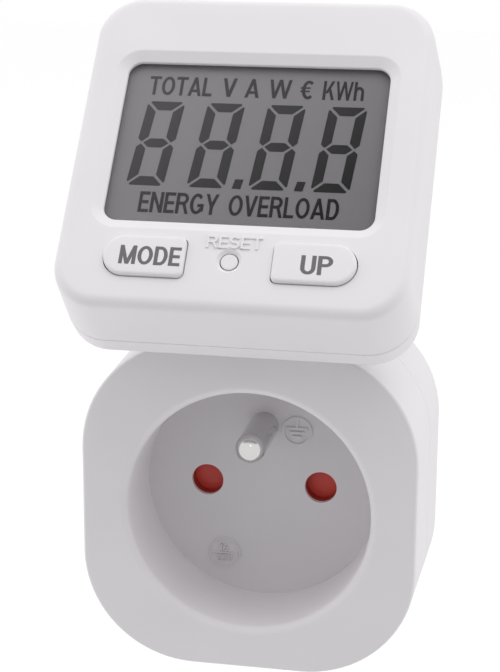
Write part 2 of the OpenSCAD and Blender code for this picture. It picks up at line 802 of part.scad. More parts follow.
module mode_plunger() plunger(-key_u);

module up_button() long_key(1);

module up_plunger() plunger(key_u);

module reset_button() color(white) in_head() {
    rod(reset_r, reset_sink, plunger_top, 0, -key_v);
    rod(reset_r + slide + key_flange, flange_front, flange_front + flange_t, 0, -key_v);
}

module reset_plunger() plunger(0);

socket_front_shell();
socket_floor();
socket_rear_shell();
shutter_housing();
shutter_rotor();
shutter_spring();
shutter_plate();
earth_pin();
live_contact();
neutral_contact();
live_plug_pin();
neutral_plug_pin();
plug_earth_sleeve();
earth_strap();
earth_clips();
metering_board();
film_capacitor();
smoothing_capacitor();
current_shunt();
metering_chip();
base_loom();
housing_screws();
hinge_caps();
head_bezel();
head_back();
window_lens();
lcd_panel();
lcd_frame();
zebra_strips();
display_board();
display_chip();
key_switches();
backup_cell();
cell_clip();
head_screws();
hinge_tube();
hinge_pin();
friction_washers();
head_loom();
head_header();
mode_button();
mode_plunger();
up_button();
up_plunger();
reset_button();
reset_plunger();
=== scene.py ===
# %% [markdown]
# # A plug-in energy monitor, dressed for its portrait
#
# The object is a white plug-through socket with a tilting display head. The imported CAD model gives
# every size and every joint. This lesson puts soft-edged shells, printed legends, a grey display and
# real-looking finishes over that frame, and then lights it as the studio picture does.
# Pieces are drawn in millimetres until the last moment, when a mesh is written in metres. Materials,
# lamps and the floor are in metres from the start.

import json

import bpy
import numpy as np
from mathutils import Matrix


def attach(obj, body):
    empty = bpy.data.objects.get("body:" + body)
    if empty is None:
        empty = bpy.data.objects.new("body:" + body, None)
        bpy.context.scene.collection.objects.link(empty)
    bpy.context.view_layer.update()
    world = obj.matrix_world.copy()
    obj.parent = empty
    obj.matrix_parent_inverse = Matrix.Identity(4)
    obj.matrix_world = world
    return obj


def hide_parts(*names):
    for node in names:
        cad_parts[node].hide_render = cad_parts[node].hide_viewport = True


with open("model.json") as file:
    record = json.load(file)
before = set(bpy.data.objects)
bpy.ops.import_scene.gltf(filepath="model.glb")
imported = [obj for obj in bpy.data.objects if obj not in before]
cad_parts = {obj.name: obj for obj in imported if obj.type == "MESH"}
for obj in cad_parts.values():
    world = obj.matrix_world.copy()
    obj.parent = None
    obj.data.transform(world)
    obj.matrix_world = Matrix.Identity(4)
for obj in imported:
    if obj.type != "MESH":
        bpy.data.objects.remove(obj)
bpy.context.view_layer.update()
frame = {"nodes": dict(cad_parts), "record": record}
nodes = frame["nodes"]
MM = 0.001

# %% [markdown]
# ## The camera
#
# The picture was taken with a long lens from a little above and to the right. A pinhole camera was
# fitted to the round well, the square casing and the tilted face, so its place, its turn and its
# focal length are known numbers. The long side of the frame is 672 pixels and the sensor is 36 mm.

# %% Camera from the fitted pinhole
FRONT_Y = -45.0  # depth of the socket's face, counted from the plug's face
FOCAL_PX, LONG_PX, SENSOR = 1740.3, 672.0, 36.0
AZ, EL, ROLL = np.radians([11.119, 14.968, 0.352])
CAM_AT = np.array([49.97, -252.49 + FRONT_Y, 97.81])

back = np.array([np.sin(AZ) * np.cos(EL), -np.cos(AZ) * np.cos(EL), np.sin(EL)])
sideways = np.array([np.cos(AZ), np.sin(AZ), 0.0])
upward = np.cross(back, sideways)
right = np.cos(ROLL) * sideways + np.sin(ROLL) * upward
up = np.cos(ROLL) * upward - np.sin(ROLL) * sideways

cam_data = bpy.data.cameras.new("portrait_camera")
cam_data.sensor_width = SENSOR
cam_data.sensor_fit = "AUTO"
cam_data.lens = FOCAL_PX * SENSOR / LONG_PX
cam_data.clip_start, cam_data.clip_end = 0.01, 20.0
cam = bpy.data.objects.new("portrait_camera", cam_data)
bpy.context.scene.collection.objects.link(cam)
turn = np.eye(4)
turn[:3, 0], turn[:3, 1], turn[:3, 2], turn[:3, 3] = right, up, back, CAM_AT * MM
cam.matrix_world = Matrix(turn.tolist())
bpy.context.scene.camera = cam
print("lens", round(cam_data.lens, 2), "mm")

# %% [markdown]
# ## Two ways of counting depth
#
# The casing counts depth from the socket's face, straight back into the wall. The head counts depth
# from its own face, which leans back about the hinge. Both are plain maps from (x, depth, height)
# to the shared frame, so every surface below is drawn in whichever one suits it.

# %% Places in the body and in the head
TILT = np.radians(39.65)
HINGE_D, HINGE_Z = 4.0, 34.4
HINGE_W, HINGE_V = 20.2, -14.4


def in_body(p):
    """(x, depth, z) to the shared frame: depth is moved back by the face's place."""
    return p + np.array([0.0, FRONT_Y, 0.0])


def in_head(p):
    """(u, depth, v) to the shared frame: turned about the hinge axis by the tilt."""
    w, v = p[..., 1] - HINGE_W, p[..., 2] - HINGE_V
    y = FRONT_Y + HINGE_D + w * np.cos(TILT) + v * np.sin(TILT)
    z = HINGE_Z - w * np.sin(TILT) + v * np.cos(TILT)
    return np.stack([p[..., 0], y, z], -1)


print("head face centre", in_head(np.zeros(3)).round(2))

# %% [markdown]
# ## From rows of points to a closed surface
#
# Each shell is a closed curve that changes as it travels: round at the well, square with round
# corners at the outside. Stacking those curves as rows of a grid gives the whole skin at once.
# The grid is closed round each curve, and it ends either by meeting its own first row, like a ring,
# or in a single point at both ends, like a bowl with a wall.

# %% Grid helpers
CREASE = np.radians(35.0)  # an edge that bends more than this stays sharp


def tri_count(mesh):
    """Triangles that the mesh's faces make: corners less two, summed."""
    return sum(len(p.vertices) - 2 for p in mesh.polygons)


def grid_faces(rows, cols, ring):
    """Quads between neighbouring rows; each row closes on itself, and a ring also joins last to first."""
    i, j = np.meshgrid(np.arange(rows if ring else rows - 1), np.arange(cols), indexing="ij")
    down, along = (i + 1) % rows, (j + 1) % cols
    quads = np.stack([i * cols + j, i * cols + along, down * cols + along, down * cols + j], -1)
    return quads.reshape(-1, 4)


def outward(points, faces):
    """Faces turned so that the enclosed volume, a sum of signed tetrahedra, is positive."""
    a, b, c, d = (points[faces[:, n]] for n in range(4))
    six = np.sum(a * np.cross(b, c)) + np.sum(a * np.cross(c, d))
    return faces if six > 0 else faces[:, ::-1]


def shell_arrays(rows, place, ring=False):
    """Rows (m, n, 3) in local millimetres to points and quads; ends become poles unless it is a ring."""
    rows = np.asarray(rows, float)
    m, n = rows.shape[:2]
    pts = rows.reshape(-1, 3)
    faces = grid_faces(m, n, ring)
    if not ring:
        ends = np.stack([rows[0].mean(0), rows[-1].mean(0)])
        pts = np.concatenate([pts, ends])
        j = np.arange(n)
        along = (j + 1) % n
        first = np.stack([np.full(n, m * n), along, j, np.full(n, m * n)], -1)
        last = (m - 1) * n
        final = np.stack([np.full(n, m * n + 1), last + j, last + along, np.full(n, m * n + 1)], -1)
        faces = np.concatenate([faces, first, final])
    pts = place(pts)
    return pts, outward(pts, faces)


def clean_quads(faces):
    """Quads as tuples, with the doubled corner of each pole triangle dropped."""
    return [tuple(dict.fromkeys(f)) for f in faces.tolist()]


def new_piece(name, parts):
    """One mesh object from several (points, faces) shells, in metres, smooth up to the crease angle."""
    pts = np.concatenate([p for p, _ in parts])
    starts = np.cumsum([0] + [len(p) for p, _ in parts[:-1]])
    faces = [tuple(int(v) + s for v in f) for (_, fs), s in zip(parts, starts.tolist()) for f in fs]
    mesh = bpy.data.meshes.new(name)
    mesh.from_pydata((pts * MM).tolist(), [], faces)
    mesh.validate()
    mesh.shade_smooth()
    mesh.set_sharp_from_angle(angle=CREASE)
    obj = bpy.data.objects.new(name, mesh)
    bpy.context.scene.collection.objects.link(obj)
    return obj


def shell(rows, place, ring=False):
    """Closed surface from rows as (points, faces), ready for new_piece."""
    pts, faces = shell_arrays(rows, place, ring)
    return pts, clean_quads(faces)


def cut(obj, cutters):
    """Takes closed cutter shells out of a piece with an exact boolean and keeps the result as its mesh."""
    tool = new_piece(obj.name + "_cut", cutters)
    mod = obj.modifiers.new("cut", "BOOLEAN")
    mod.operation, mod.solver, mod.object = "DIFFERENCE", "EXACT", tool
    mod.use_self = True
    graph = bpy.context.evaluated_depsgraph_get()
    mesh = bpy.data.meshes.new_from_object(obj.evaluated_get(graph))
    obj.modifiers.clear()
    old, obj.data = obj.data, mesh
    mesh.name = obj.name
    bpy.data.meshes.remove(old)
    data = tool.data
    bpy.data.objects.remove(tool)
    bpy.data.meshes.remove(data)
    mesh.shade_smooth()
    mesh.set_sharp_from_angle(angle=CREASE)


print("quads in a ring of 3 rows by 4", len(grid_faces(3, 4, True)))

# %% [markdown]
# ## Outlines
#
# Two outlines do most of the work: a rounded rectangle and a circle, which may also be laid along the
# rays of another outline, so that the two can be joined point by point. The keys and the hinge get
# outlines of their own later. An inset outline is the same one made smaller by the same amount all
# round, which is how a moulder draws a rounded edge.

# %% Outline functions
CORNER, SIDE = 20, 14  # steps along a quarter circle and along a straight side


def rounded(w, h, r, mid=(0.0, 0.0)):
    """Rounded rectangle (n, 2): four quarter circles, with points also along the straight sides."""
    a = np.linspace(0, np.pi / 2, CORNER + 1)
    sx, sy = np.array([1, -1, -1, 1.0]), np.array([1, 1, -1, -1.0])
    ang = a[None] + np.arange(4)[:, None] * np.pi / 2
    arc = np.stack([(sx * (w / 2 - r))[:, None] + r * np.cos(ang),
                    (sy * (h / 2 - r))[:, None] + r * np.sin(ang)], -1)
    f = (np.arange(1, SIDE) / SIDE)[None, :, None]
    side = arc[:, -1:] * (1 - f) + np.roll(arc[:, :1], -1, axis=0) * f
    return np.concatenate([arc, side], 1).reshape(-1, 2) + np.array(mid)


def circle_along(line, r, mid=(0.0, 0.0)):
    """Circle (n, 2) whose points lie on the rays from its middle to the points of another outline."""
    d = line - np.array(mid)
    return np.array(mid) + r * d / np.linalg.norm(d, axis=1, keepdims=True)


def ring_of(r, n, mid):
    """Circle (n, 2) of radius r: points at equal angles."""
    a = np.linspace(0, 2 * np.pi, n, endpoint=False)
    return np.stack([mid[0] + r * np.cos(a), mid[1] + r * np.sin(a)], -1)


def row(line, depth):
    """Outline (n, 2) set at one depth, as (x, depth, height)."""
    return np.stack([line[:, 0], np.broadcast_to(depth, len(line)), line[:, 1]], -1)


def quarter(r, steps=8):
    """Quarter round as (depth, inset) pairs, from the face's edge round to the side."""
    a = np.linspace(0, np.pi / 2, steps + 1)
    return np.stack([r * (1 - np.cos(a)), r * (1 - np.sin(a))], -1)


def between(a, b, count):
    """Rows between two rows, ends left out."""
    f = (np.arange(1, count + 1) / (count + 1))[:, None, None]
    return list(a[None] * (1 - f) + b[None] * f)


print("outline points", len(rounded(10, 10, 2)))

# %% [markdown]
# ## Moulded plastic, metal and glass
#
# The casing is plain white plastic with a satin skin: at arm's length it is flat in colour, and only
# a fine spark-eroded grain breaks up the highlights. That grain is one node group, used by all the
# moulded parts at one scale, so the keys and the casing agree. The metals get a second
# group for fine drawn lines. A third group paints shade across the display: its dark marks and grey
# ground are both painted lighter at the upper left and darker at the lower right.

# %% Shader groups
SCREEN_MID = np.array([0.0, 2.0, 1.25])  # middle of the display's front, in the head's places
FADE_WAY, FADE_REACH = np.array([0.64, 0.0, -0.77]), 0.019


def socket(group, name, kind, way, default=None):
    """New input or output of a node group, with a default where one is given."""
    s = group.interface.new_socket(name=name, in_out=way, socket_type=kind)
    if default is not None:
        s.default_value = default


def moulded_skin():
    """Group: fine grain height and a slow cloud, both from Object coordinates."""
    g = bpy.data.node_groups.new("moulded_skin", "ShaderNodeTree")
    socket(g, "Grain Scale", "NodeSocketFloat", "INPUT", 5200.0)
    socket(g, "Cloud Scale", "NodeSocketFloat", "INPUT", 70.0)
    socket(g, "Height", "NodeSocketFloat", "OUTPUT")
    socket(g, "Cloud", "NodeSocketFloat", "OUTPUT")
    n = g.nodes
    gin, gout = n.new("NodeGroupInput"), n.new("NodeGroupOutput")
    coord = n.new("ShaderNodeTexCoord")
    grain, cloud = n.new("ShaderNodeTexNoise"), n.new("ShaderNodeTexNoise")
    grain.inputs["Detail"].default_value = 2.0
    cloud.inputs["Detail"].default_value = 3.0
    for tex, name in ((grain, "Grain Scale"), (cloud, "Cloud Scale")):
        g.links.new(coord.outputs["Object"], tex.inputs["Vector"])
        g.links.new(gin.outputs[name], tex.inputs["Scale"])
    g.links.new(grain.outputs["Fac"], gout.inputs["Height"])
    g.links.new(cloud.outputs["Fac"], gout.inputs["Cloud"])
    return g


def drawn_lines():
    """Group: streaks stretched along one axis, for drawn or turned metal."""
    g = bpy.data.node_groups.new("drawn_lines", "ShaderNodeTree")
    socket(g, "Line Scale", "NodeSocketFloat", "INPUT", 2500.0)
    socket(g, "Height", "NodeSocketFloat", "OUTPUT")
    n = g.nodes
    gin, gout = n.new("NodeGroupInput"), n.new("NodeGroupOutput")
    coord, mapping = n.new("ShaderNodeTexCoord"), n.new("ShaderNodeMapping")
    tex = n.new("ShaderNodeTexNoise")
    mapping.inputs["Scale"].default_value = (1.0, 0.03, 1.0)
    g.links.new(coord.outputs["Object"], mapping.inputs["Vector"])
    g.links.new(mapping.outputs["Vector"], tex.inputs["Vector"])
    g.links.new(gin.outputs["Line Scale"], tex.inputs["Scale"])
    g.links.new(tex.outputs["Fac"], gout.inputs["Height"])
    return g


def display_painted_shade():
    """Group for painted shade on the display: 0 at its upper left corner, 1 at its lower right one, from
    Object coordinates.
    """
    g = bpy.data.node_groups.new("display_painted_shade", "ShaderNodeTree")
    socket(g, "Fade", "NodeSocketFloat", "OUTPUT")
    n = g.nodes
    gout, coord = n.new("NodeGroupOutput"), n.new("ShaderNodeTexCoord")
    along, spread = n.new("ShaderNodeVectorMath"), n.new("ShaderNodeMapRange")
    along.operation = "DOT_PRODUCT"
    along.inputs[1].default_value = FADE_WAY
    middle = MM * np.dot(FADE_WAY, in_head(SCREEN_MID))
    spread.inputs["From Min"].default_value = middle - FADE_REACH
    spread.inputs["From Max"].default_value = middle + FADE_REACH
    g.links.new(coord.outputs["Object"], along.inputs[0])
    g.links.new(along.outputs["Value"], spread.inputs["Value"])
    g.links.new(spread.outputs["Result"], gout.inputs["Fade"])
    return g


SKIN, LINES, FADE = moulded_skin(), drawn_lines(), display_painted_shade()
print("shader groups", [g.name for g in (SKIN, LINES, FADE)])

# %% Makers of materials
GRAIN_STRENGTH, LINE_STRENGTH, LINE_DEPTH = 0.4, 0.15, 0.000004
ROUGH_SWING, LINE_SWING = 0.03, 0.3  # how far roughness wanders: as it is, and as a share


def base_material(name, rough, metallic=0.0):
    """New material with its tree and its Principled shader, roughness and metallic set."""
    mat = bpy.data.materials.new(name)
    mat.use_nodes = True
    bsdf = mat.node_tree.nodes["Principled BSDF"]
    bsdf.inputs["Roughness"].default_value = rough
    bsdf.inputs["Metallic"].default_value = metallic
    return mat, mat.node_tree, bsdf


def remap(tree, source, low, high):
    """Spreads a 0.3 to 0.7 noise value over low to high."""
    m = tree.nodes.new("ShaderNodeMapRange")
    m.inputs["From Min"].default_value, m.inputs["From Max"].default_value = 0.3, 0.7
    m.inputs["To Min"].default_value, m.inputs["To Max"].default_value = low, high
    tree.links.new(source, m.inputs["Value"])
    return m.outputs["Result"]


def moulded(name, colour, rough, grain=0.000006, tint=0.015, shine=0.35):
    """Moulded plastic: grain as bump, and a cloud that moves colour and roughness a little."""
    mat, tree, bsdf = base_material(name, rough)
    bsdf.inputs["Specular IOR Level"].default_value = shine
    skin = tree.nodes.new("ShaderNodeGroup")
    skin.node_tree = SKIN
    mix = tree.nodes.new("ShaderNodeMix")
    mix.data_type = "RGBA"
    mix.inputs["A"].default_value = (*[c * (1 - tint) for c in colour], 1)
    mix.inputs["B"].default_value = (*[min(1, c * (1 + tint)) for c in colour], 1)
    tree.links.new(remap(tree, skin.outputs["Cloud"], 0.0, 1.0), mix.inputs["Factor"])
    tree.links.new(mix.outputs["Result"], bsdf.inputs["Base Color"])
    wander = remap(tree, skin.outputs["Cloud"], rough - ROUGH_SWING, rough + ROUGH_SWING)
    tree.links.new(wander, bsdf.inputs["Roughness"])
    bump = tree.nodes.new("ShaderNodeBump")
    bump.inputs["Strength"].default_value = GRAIN_STRENGTH
    bump.inputs["Distance"].default_value = grain
    tree.links.new(skin.outputs["Height"], bump.inputs["Height"])
    tree.links.new(bump.outputs["Normal"], bsdf.inputs["Normal"])
    return mat


def metal(name, colour, rough):
    """Plated metal: one colour, with drawn lines that move its roughness and bend its normal."""
    mat, tree, bsdf = base_material(name, rough, 1.0)
    bsdf.inputs["Base Color"].default_value = (*colour, 1)
    lines = tree.nodes.new("ShaderNodeGroup")
    lines.node_tree = LINES
    wander = remap(tree, lines.outputs["Height"], rough * (1 - LINE_SWING), rough * (1 + LINE_SWING))
    tree.links.new(wander, bsdf.inputs["Roughness"])
    bump = tree.nodes.new("ShaderNodeBump")
    bump.inputs["Strength"].default_value = LINE_STRENGTH
    bump.inputs["Distance"].default_value = LINE_DEPTH
    tree.links.new(lines.outputs["Height"], bump.inputs["Height"])
    tree.links.new(bump.outputs["Normal"], bsdf.inputs["Normal"])
    return mat


def display(name, painted_lit, painted_shaded, rough, shine):
    """Display surface with painted shade: its colour goes from the lighter end at the upper left to the
    darker end at the lower right.
    """
    mat, tree, bsdf = base_material(name, rough)
    bsdf.inputs["Specular IOR Level"].default_value = shine
    fade = tree.nodes.new("ShaderNodeGroup")
    fade.node_tree = FADE
    mix = tree.nodes.new("ShaderNodeMix")
    mix.data_type = "RGBA"
    mix.inputs["A"].default_value = (*painted_lit, 1)
    mix.inputs["B"].default_value = (*painted_shaded, 1)
    tree.links.new(fade.outputs["Fade"], mix.inputs["Factor"])
    tree.links.new(mix.outputs["Result"], bsdf.inputs["Base Color"])
    skin = tree.nodes.new("ShaderNodeGroup")
    skin.node_tree = SKIN
    wander = remap(tree, skin.outputs["Cloud"], rough - ROUGH_SWING, rough + ROUGH_SWING)
    tree.links.new(wander, bsdf.inputs["Roughness"])
    return mat


# %% Finishes of this object
WHITE = moulded("white_satin_plastic", (0.80, 0.776, 0.80), 0.42)
# The parts inside the well get the casing's white made darker: painted shade in the well.
SHADED_WELL_WHITE = moulded("well_white_painted_shade", (0.73, 0.708, 0.73), 0.45)
KEY = moulded("key_satin_plastic", (0.80, 0.776, 0.80), 0.40)
RED = moulded("shutter_red_plastic", (0.82, 0.095, 0.072), 0.34)
# The housing round the pin holes is the shutters' red made darker: painted shade on the holes' walls.
SHADED_RED = moulded("housing_red_painted_shade", (0.38, 0.03, 0.022), 0.34)
GREY = moulded("grey_moulded_plastic", (0.33, 0.33, 0.35), 0.5)
BLACK = moulded("black_moulded_plastic", (0.025, 0.025, 0.028), 0.5)
BOARD = moulded("green_board_lacquer", (0.03, 0.16, 0.075), 0.35)
RUBBER = moulded("contact_rubber", (0.04, 0.04, 0.042), 0.75)
# Display ground and marks keep their own greys, painted lighter at the upper left and darker at the lower
# right: painted shade.
SCREEN = display("display_grey", (0.254, 0.246, 0.254), (0.162, 0.156, 0.162), 0.32, 0.15)
INK = display("segment_dark_grey", (0.09, 0.085, 0.09), (0.0, 0.0, 0.0), 0.5, 0.05)
PRINT = moulded("legend_grey_print", (0.145, 0.143, 0.15), 0.55, 0.000002)
NICKEL = metal("bright_nickel", (0.66, 0.655, 0.65), 0.13)
BRASS = metal("contact_brass", (0.72, 0.54, 0.26), 0.28)
STEEL = metal("zinc_steel", (0.58, 0.59, 0.61), 0.34)

LENS, _, lens_bsdf = base_material("clear_lens", 0.12)
lens_bsdf.inputs["Base Color"].default_value = (0.5, 0.5, 0.52, 1)
lens_bsdf.inputs["Alpha"].default_value = 0.01
lens_bsdf.inputs["IOR"].default_value = 1.45
print("materials", len(bpy.data.materials))

# %% Finishes on the CAD nodes and on new pieces
BY_SLOT = {
    "white_plastic": WHITE, "well_plastic": SHADED_WELL_WHITE, "key_plastic": KEY, "red_plastic": RED,
    "dark_red_plastic": SHADED_RED, "nickel": NICKEL, "brass": BRASS, "spring_steel": STEEL,
    "board_laminate": BOARD, "grey_plastic": GREY, "black_plastic": BLACK, "wire_insulation": GREY,
    "clear_lens": LENS, "display_glass": SCREEN, "contact_rubber": RUBBER,
}
slot_of = {s["node"]: s["material_slot"] for s in frame["record"]["subparts"]}
for name, obj in nodes.items():
    obj.data.materials.clear()
    obj.data.materials.append(BY_SLOT[slot_of[name]])
print("slots in use", len(set(slot_of.values())))


def finish_piece(obj, mat, body, slot, *replaced):
    """Gives a new piece its material, its body and the nodes it stands for; the slot argument is not used.
    """
    obj.data.materials.clear()
    obj.data.materials.append(mat)
    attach(obj, body)
    if replaced:
        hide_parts(*replaced)
    print(obj.name, tri_count(obj.data), "triangles")


# %% [markdown]
# ## The casing's front half
#
# It is one moulding: the wall of the round well, a rolled lip, a flat face, a small rounded edge
# and drafted sides down to the seam. One profile carried round the outline makes it all, and the
# profile closes on itself through the hollow inside, so the shell has a real wall. A hair-wide
# bevel at the seam draws the thin dark line that the joint shows. Each hinge ear is a second ring,
# carried from its outline in to the bore.

# %% Rows of the front shell
BODY_W, BODY_R, BODY_D, DRAFT, RISE = 53.6, 18.0, 30.0, 0.6, 0.45
WALL, SEAM, SEAM_BEVEL = 2.2, 15.3, 0.16
WELL_R, WELL_D, LIP, TUBE = 19.5, 14.5, 1.3, 21.4
FRONT_ROUND, REAR_ROUND = 0.5, 2.4


def body_line(depth, inset=0.0):
    """Casing outline at a depth: it grows with depth by the draft, then shrinks by the inset."""
    w = BODY_W + 2 * DRAFT * depth / BODY_D - 2 * inset
    return rounded(w, w, BODY_R - inset, (0, RISE))


def body_row(depth, inset=0.0):
    """Casing outline as a row at its depth."""
    return row(body_line(depth, inset), depth)


RAYS = body_line(0.0)


def round_row(r, depth):
    """Circle about the well's axis as a row, along the casing's rays."""
    return row(circle_along(RAYS, r), depth)


well_rows = [round_row(WELL_R, WELL_D), *between(round_row(WELL_R, WELL_D), round_row(WELL_R, LIP), 4)]
lip_rows = [round_row(WELL_R + LIP * (1 - np.sin(a)), LIP * (1 - np.cos(a)))
            for a in np.linspace(np.pi / 2, 0, 9)]
edge_rows = [body_row(d, i) for d, i in quarter(FRONT_ROUND, 6)]
face_rows = between(lip_rows[-1], edge_rows[0], 5)
side_rows = [body_row(d) for d in np.linspace(FRONT_ROUND, SEAM - SEAM_BEVEL, 6)[1:]]
seam_rows = [body_row(SEAM, SEAM_BEVEL), body_row(SEAM, WALL), body_row(WALL, WALL)]
tube_rows = [round_row(TUBE, WALL), round_row(TUBE, WELL_D)]
front_rows = well_rows + lip_rows + face_rows + edge_rows + side_rows + seam_rows + tube_rows
print("front shell rows", len(front_rows))

# %% Hinge ears and the finished front shell
EAR_IN, EAR_OUT, EAR_R, BORE = 10.6, 16.2, 4.3, 2.25
EAR_BASE, EAR_BACK = 24.6, 10.4
SOFT_EDGE = quarter(0.5, 4)  # small rounded edge of the ears and of the knuckle


def ear_line(inset=0.0):
    """Tombstone outline in (depth, height): half circle on top, straight sides down to the casing."""
    r = EAR_R - inset
    a = np.linspace(0, np.pi, 33)
    top = np.stack([HINGE_D + r * np.cos(a), HINGE_Z + r * np.sin(a)], -1)
    feet = np.array([[WALL / 2 + inset, EAR_BASE], [EAR_BACK - inset, EAR_BASE]])
    f = np.linspace(0, 1, 13)[:, None]
    down = top[-1] * (1 - f) + feet[0] * f
    foot = feet[0] * (1 - f) + feet[1] * f
    rise = feet[1] * (1 - f) + top[0] * f
    return np.concatenate([top, down[1:], foot[1:], rise[1:-1]])


def ear_row(line, x):
    """Side view (depth, height) set at one x, as (x, depth, height)."""
    return np.stack([np.full(len(line), x), line[:, 0], line[:, 1]], -1)


def ear_rows(x0, x1):
    """Ring: out over the rounded edge, along the outside, in over the far face and back through the bore."""
    bore = circle_along(ear_line(), BORE, (HINGE_D, HINGE_Z))
    near = [ear_row(ear_line(i), x0 + d) for d, i in SOFT_EDGE]
    far = [ear_row(ear_line(i), x1 - d) for d, i in SOFT_EDGE[::-1]]
    return near + far + [ear_row(bore, x1), ear_row(bore, x0)]


front_shell = new_piece("front_shell", [
    shell(front_rows, in_body, ring=True),
    shell(ear_rows(EAR_IN, EAR_OUT), in_body, ring=True),
    shell(ear_rows(-EAR_OUT, -EAR_IN), in_body, ring=True)])
finish_piece(front_shell, WHITE, "socket", "white_plastic", "socket_front_shell")

# %% [markdown]
# ## The casing's back half
#
# Behind the seam the casing runs on to a rounded back edge, a flat face that meets the wall plate,
# and the round boss that goes into the outlet. It is a bowl with a wall, so its grid ends in two
# points: the middle of the boss's face and the middle of its floor inside. The screw wells, the pin
# holes, and the grooves and slots of the earth clips are cut out of it afterwards. The four posts that
# take the screws are rings of their own.

# %% Rows of the rear shell
BOSS_R, BOSS_D, BOSS_BORE, BOSS_END, BOSS_ROUND, FILLET = 18.4, 45.0, 16.0, 2.5, 0.8, 0.6
BOSS_RINGS, FLOOR_RING = (3.0, 9.0, 15.0), 4.0  # radii on its flat face and on its floor inside

rear_rows = [round_row(r, BOSS_D) for r in BOSS_RINGS]
rear_rows += [round_row(BOSS_R - i, BOSS_D - d) for d, i in quarter(BOSS_ROUND, 5)]
rear_rows += [round_row(BOSS_R, d) for d in np.linspace(BOSS_D - BOSS_ROUND, BODY_D + FILLET, 5)[1:]]
rear_rows += [round_row(BOSS_R + FILLET * (1 - np.cos(a)), BODY_D + FILLET * (1 - np.sin(a)))
              for a in np.linspace(0, np.pi / 2, 6)[1:]]
rear_edge = [body_row(BODY_D - d, i) for d, i in quarter(REAR_ROUND)]
rear_rows += between(rear_rows[-1], rear_edge[0], 3) + rear_edge
rear_rows += [body_row(d) for d in np.linspace(BODY_D - REAR_ROUND, SEAM + SEAM_BEVEL, 6)[1:]]
rear_rows += [body_row(SEAM, SEAM_BEVEL), body_row(SEAM, WALL), body_row(BODY_D - WALL, WALL)]
rear_rows += [round_row(BOSS_BORE, BODY_D - WALL), round_row(BOSS_BORE, BOSS_D - BOSS_END)]
rear_rows += [round_row(FLOOR_RING, BOSS_D - BOSS_END)]
print("rear shell rows", len(rear_rows))

# %% Holes, grooves and posts of the rear shell
SCREW_X, SCREW_SEAT, SCREW_WELL, SCREW_END, SHANK_R = 18.5, 22.0, 2.5, 40.0, 1.55
CORNERS = [(sx * SCREW_X, RISE + sz * SCREW_X) for sx in (-1, 1) for sz in (-1, 1)]
PIN_X, PIN_HOLE, SLEEVE_Z, SLEEVE_HOLE = 9.5, 2.8, 10.0, 3.3
CLIP_Z, CLIP_W, CLIP_SLOT, CLIP_FROM, GROOVE_TOP = 17.1, 6.3, 0.75, 26.0, 22.0
POST_R, POST_FOOT = 3.1, 28.4
CUT_FROM, CUT_TO, OVERRUN = 40.0, 47.0, 0.1  # cutters start inside the boss and end beyond its face


def rod(r, d0, d1, x, z):
    """Round bar along the depth, from d0 to d1."""
    line = ring_of(r, 48, (x, z))
    return shell([row(line, d0), row(line, d1)], in_body)


def box_cut(x0, x1, d0, d1, z0, z1):
    """Box cutter between two corners."""
    line = np.array([[x0, z0], [x1, z0], [x1, z1], [x0, z1]], float)
    return shell([row(line, d0), row(line, d1)], in_body)


rear_shell = new_piece("rear_shell", [shell(rear_rows, in_body)])
wells = [rod(SCREW_WELL, SCREW_SEAT, SCREW_END, *c) for c in CORNERS]
pin_holes = [rod(PIN_HOLE, CUT_FROM, CUT_TO, x, 0.0) for x in (-PIN_X, PIN_X)]
pin_holes += [rod(SLEEVE_HOLE, CUT_FROM, CUT_TO, 0.0, SLEEVE_Z)]
grooves = [box_cut(-CLIP_W / 2, CLIP_W / 2, BODY_D, CUT_TO, *z)
           for z in ((CLIP_Z, GROOVE_TOP), (-GROOVE_TOP, -CLIP_Z))]
slots = [box_cut(-CLIP_W / 2, CLIP_W / 2, CLIP_FROM, BODY_D + OVERRUN, *z)
         for z in ((CLIP_Z, CLIP_Z + CLIP_SLOT), (-CLIP_Z - CLIP_SLOT, -CLIP_Z))]
post_profile = ((POST_R, SEAM), (POST_R, POST_FOOT), (SCREW_WELL, POST_FOOT), (SCREW_WELL, SCREW_SEAT),
                (SHANK_R, SCREW_SEAT), (SHANK_R, SEAM))
posts = [shell([row(ring_of(r, 48, c), d) for r, d in post_profile], in_body, ring=True) for c in CORNERS]
cut(rear_shell, wells + pin_holes + grooves + slots)
finish_piece(rear_shell, WHITE, "socket", "white_plastic", "socket_rear_shell")
rear_posts = new_piece("rear_posts", posts)
finish_piece(rear_posts, WHITE, "socket", "white_plastic")

# %% [markdown]
# ## The head's front half
#
# The face is a soft square with a display window. Around the window a shallow bevel leads the eye
# in to a thin lip, behind which the lens sits in a rebate, and round the outside the face rolls over
# into drafted sides. The same kind of ring makes it: out of the rebate, over the lip and the bevel,
# across the face, down the side to the seam and back through the inside. The key openings and the
# small reset hole, with a shallow dish round it, are then cut through the face.

# %% Rows of the head's front
HEAD_W, HEAD_H, HEAD_R, HEAD_D, HEAD_DRAFT = 52.0, 53.4, 7.0, 15.2, 0.6
HEAD_SEAM, HEAD_WALL, FACE_ROUND, BACK_ROUND = 11.4, 2.0, 1.6, 0.6
WIN_W, WIN_H, WIN_R, WIN_V, BEVEL_W, BEVEL_D = 40.3, 27.5, 2.2, 1.25, 1.65, 0.9
LENS_SEAT, LENS_RIM, LIP_EDGE = 1.35, 0.6, 0.06
RIM_EASE = (0.05, 0.2)  # flat rows just outside the bevel keep its edge crisp
BEVEL_STEPS = (0.03, 0.09, 0.36, 0.64, 0.91, 0.97)  # rows up the bevel, close together at its edges


def head_line(depth, inset=0.0):
    """Head outline at a depth: it grows by the draft down to the seam, then shrinks by the inset."""
    g = 2 * HEAD_DRAFT * min(depth, HEAD_SEAM) / HEAD_SEAM - 2 * inset
    return rounded(HEAD_W + g, HEAD_H + g, HEAD_R - inset)


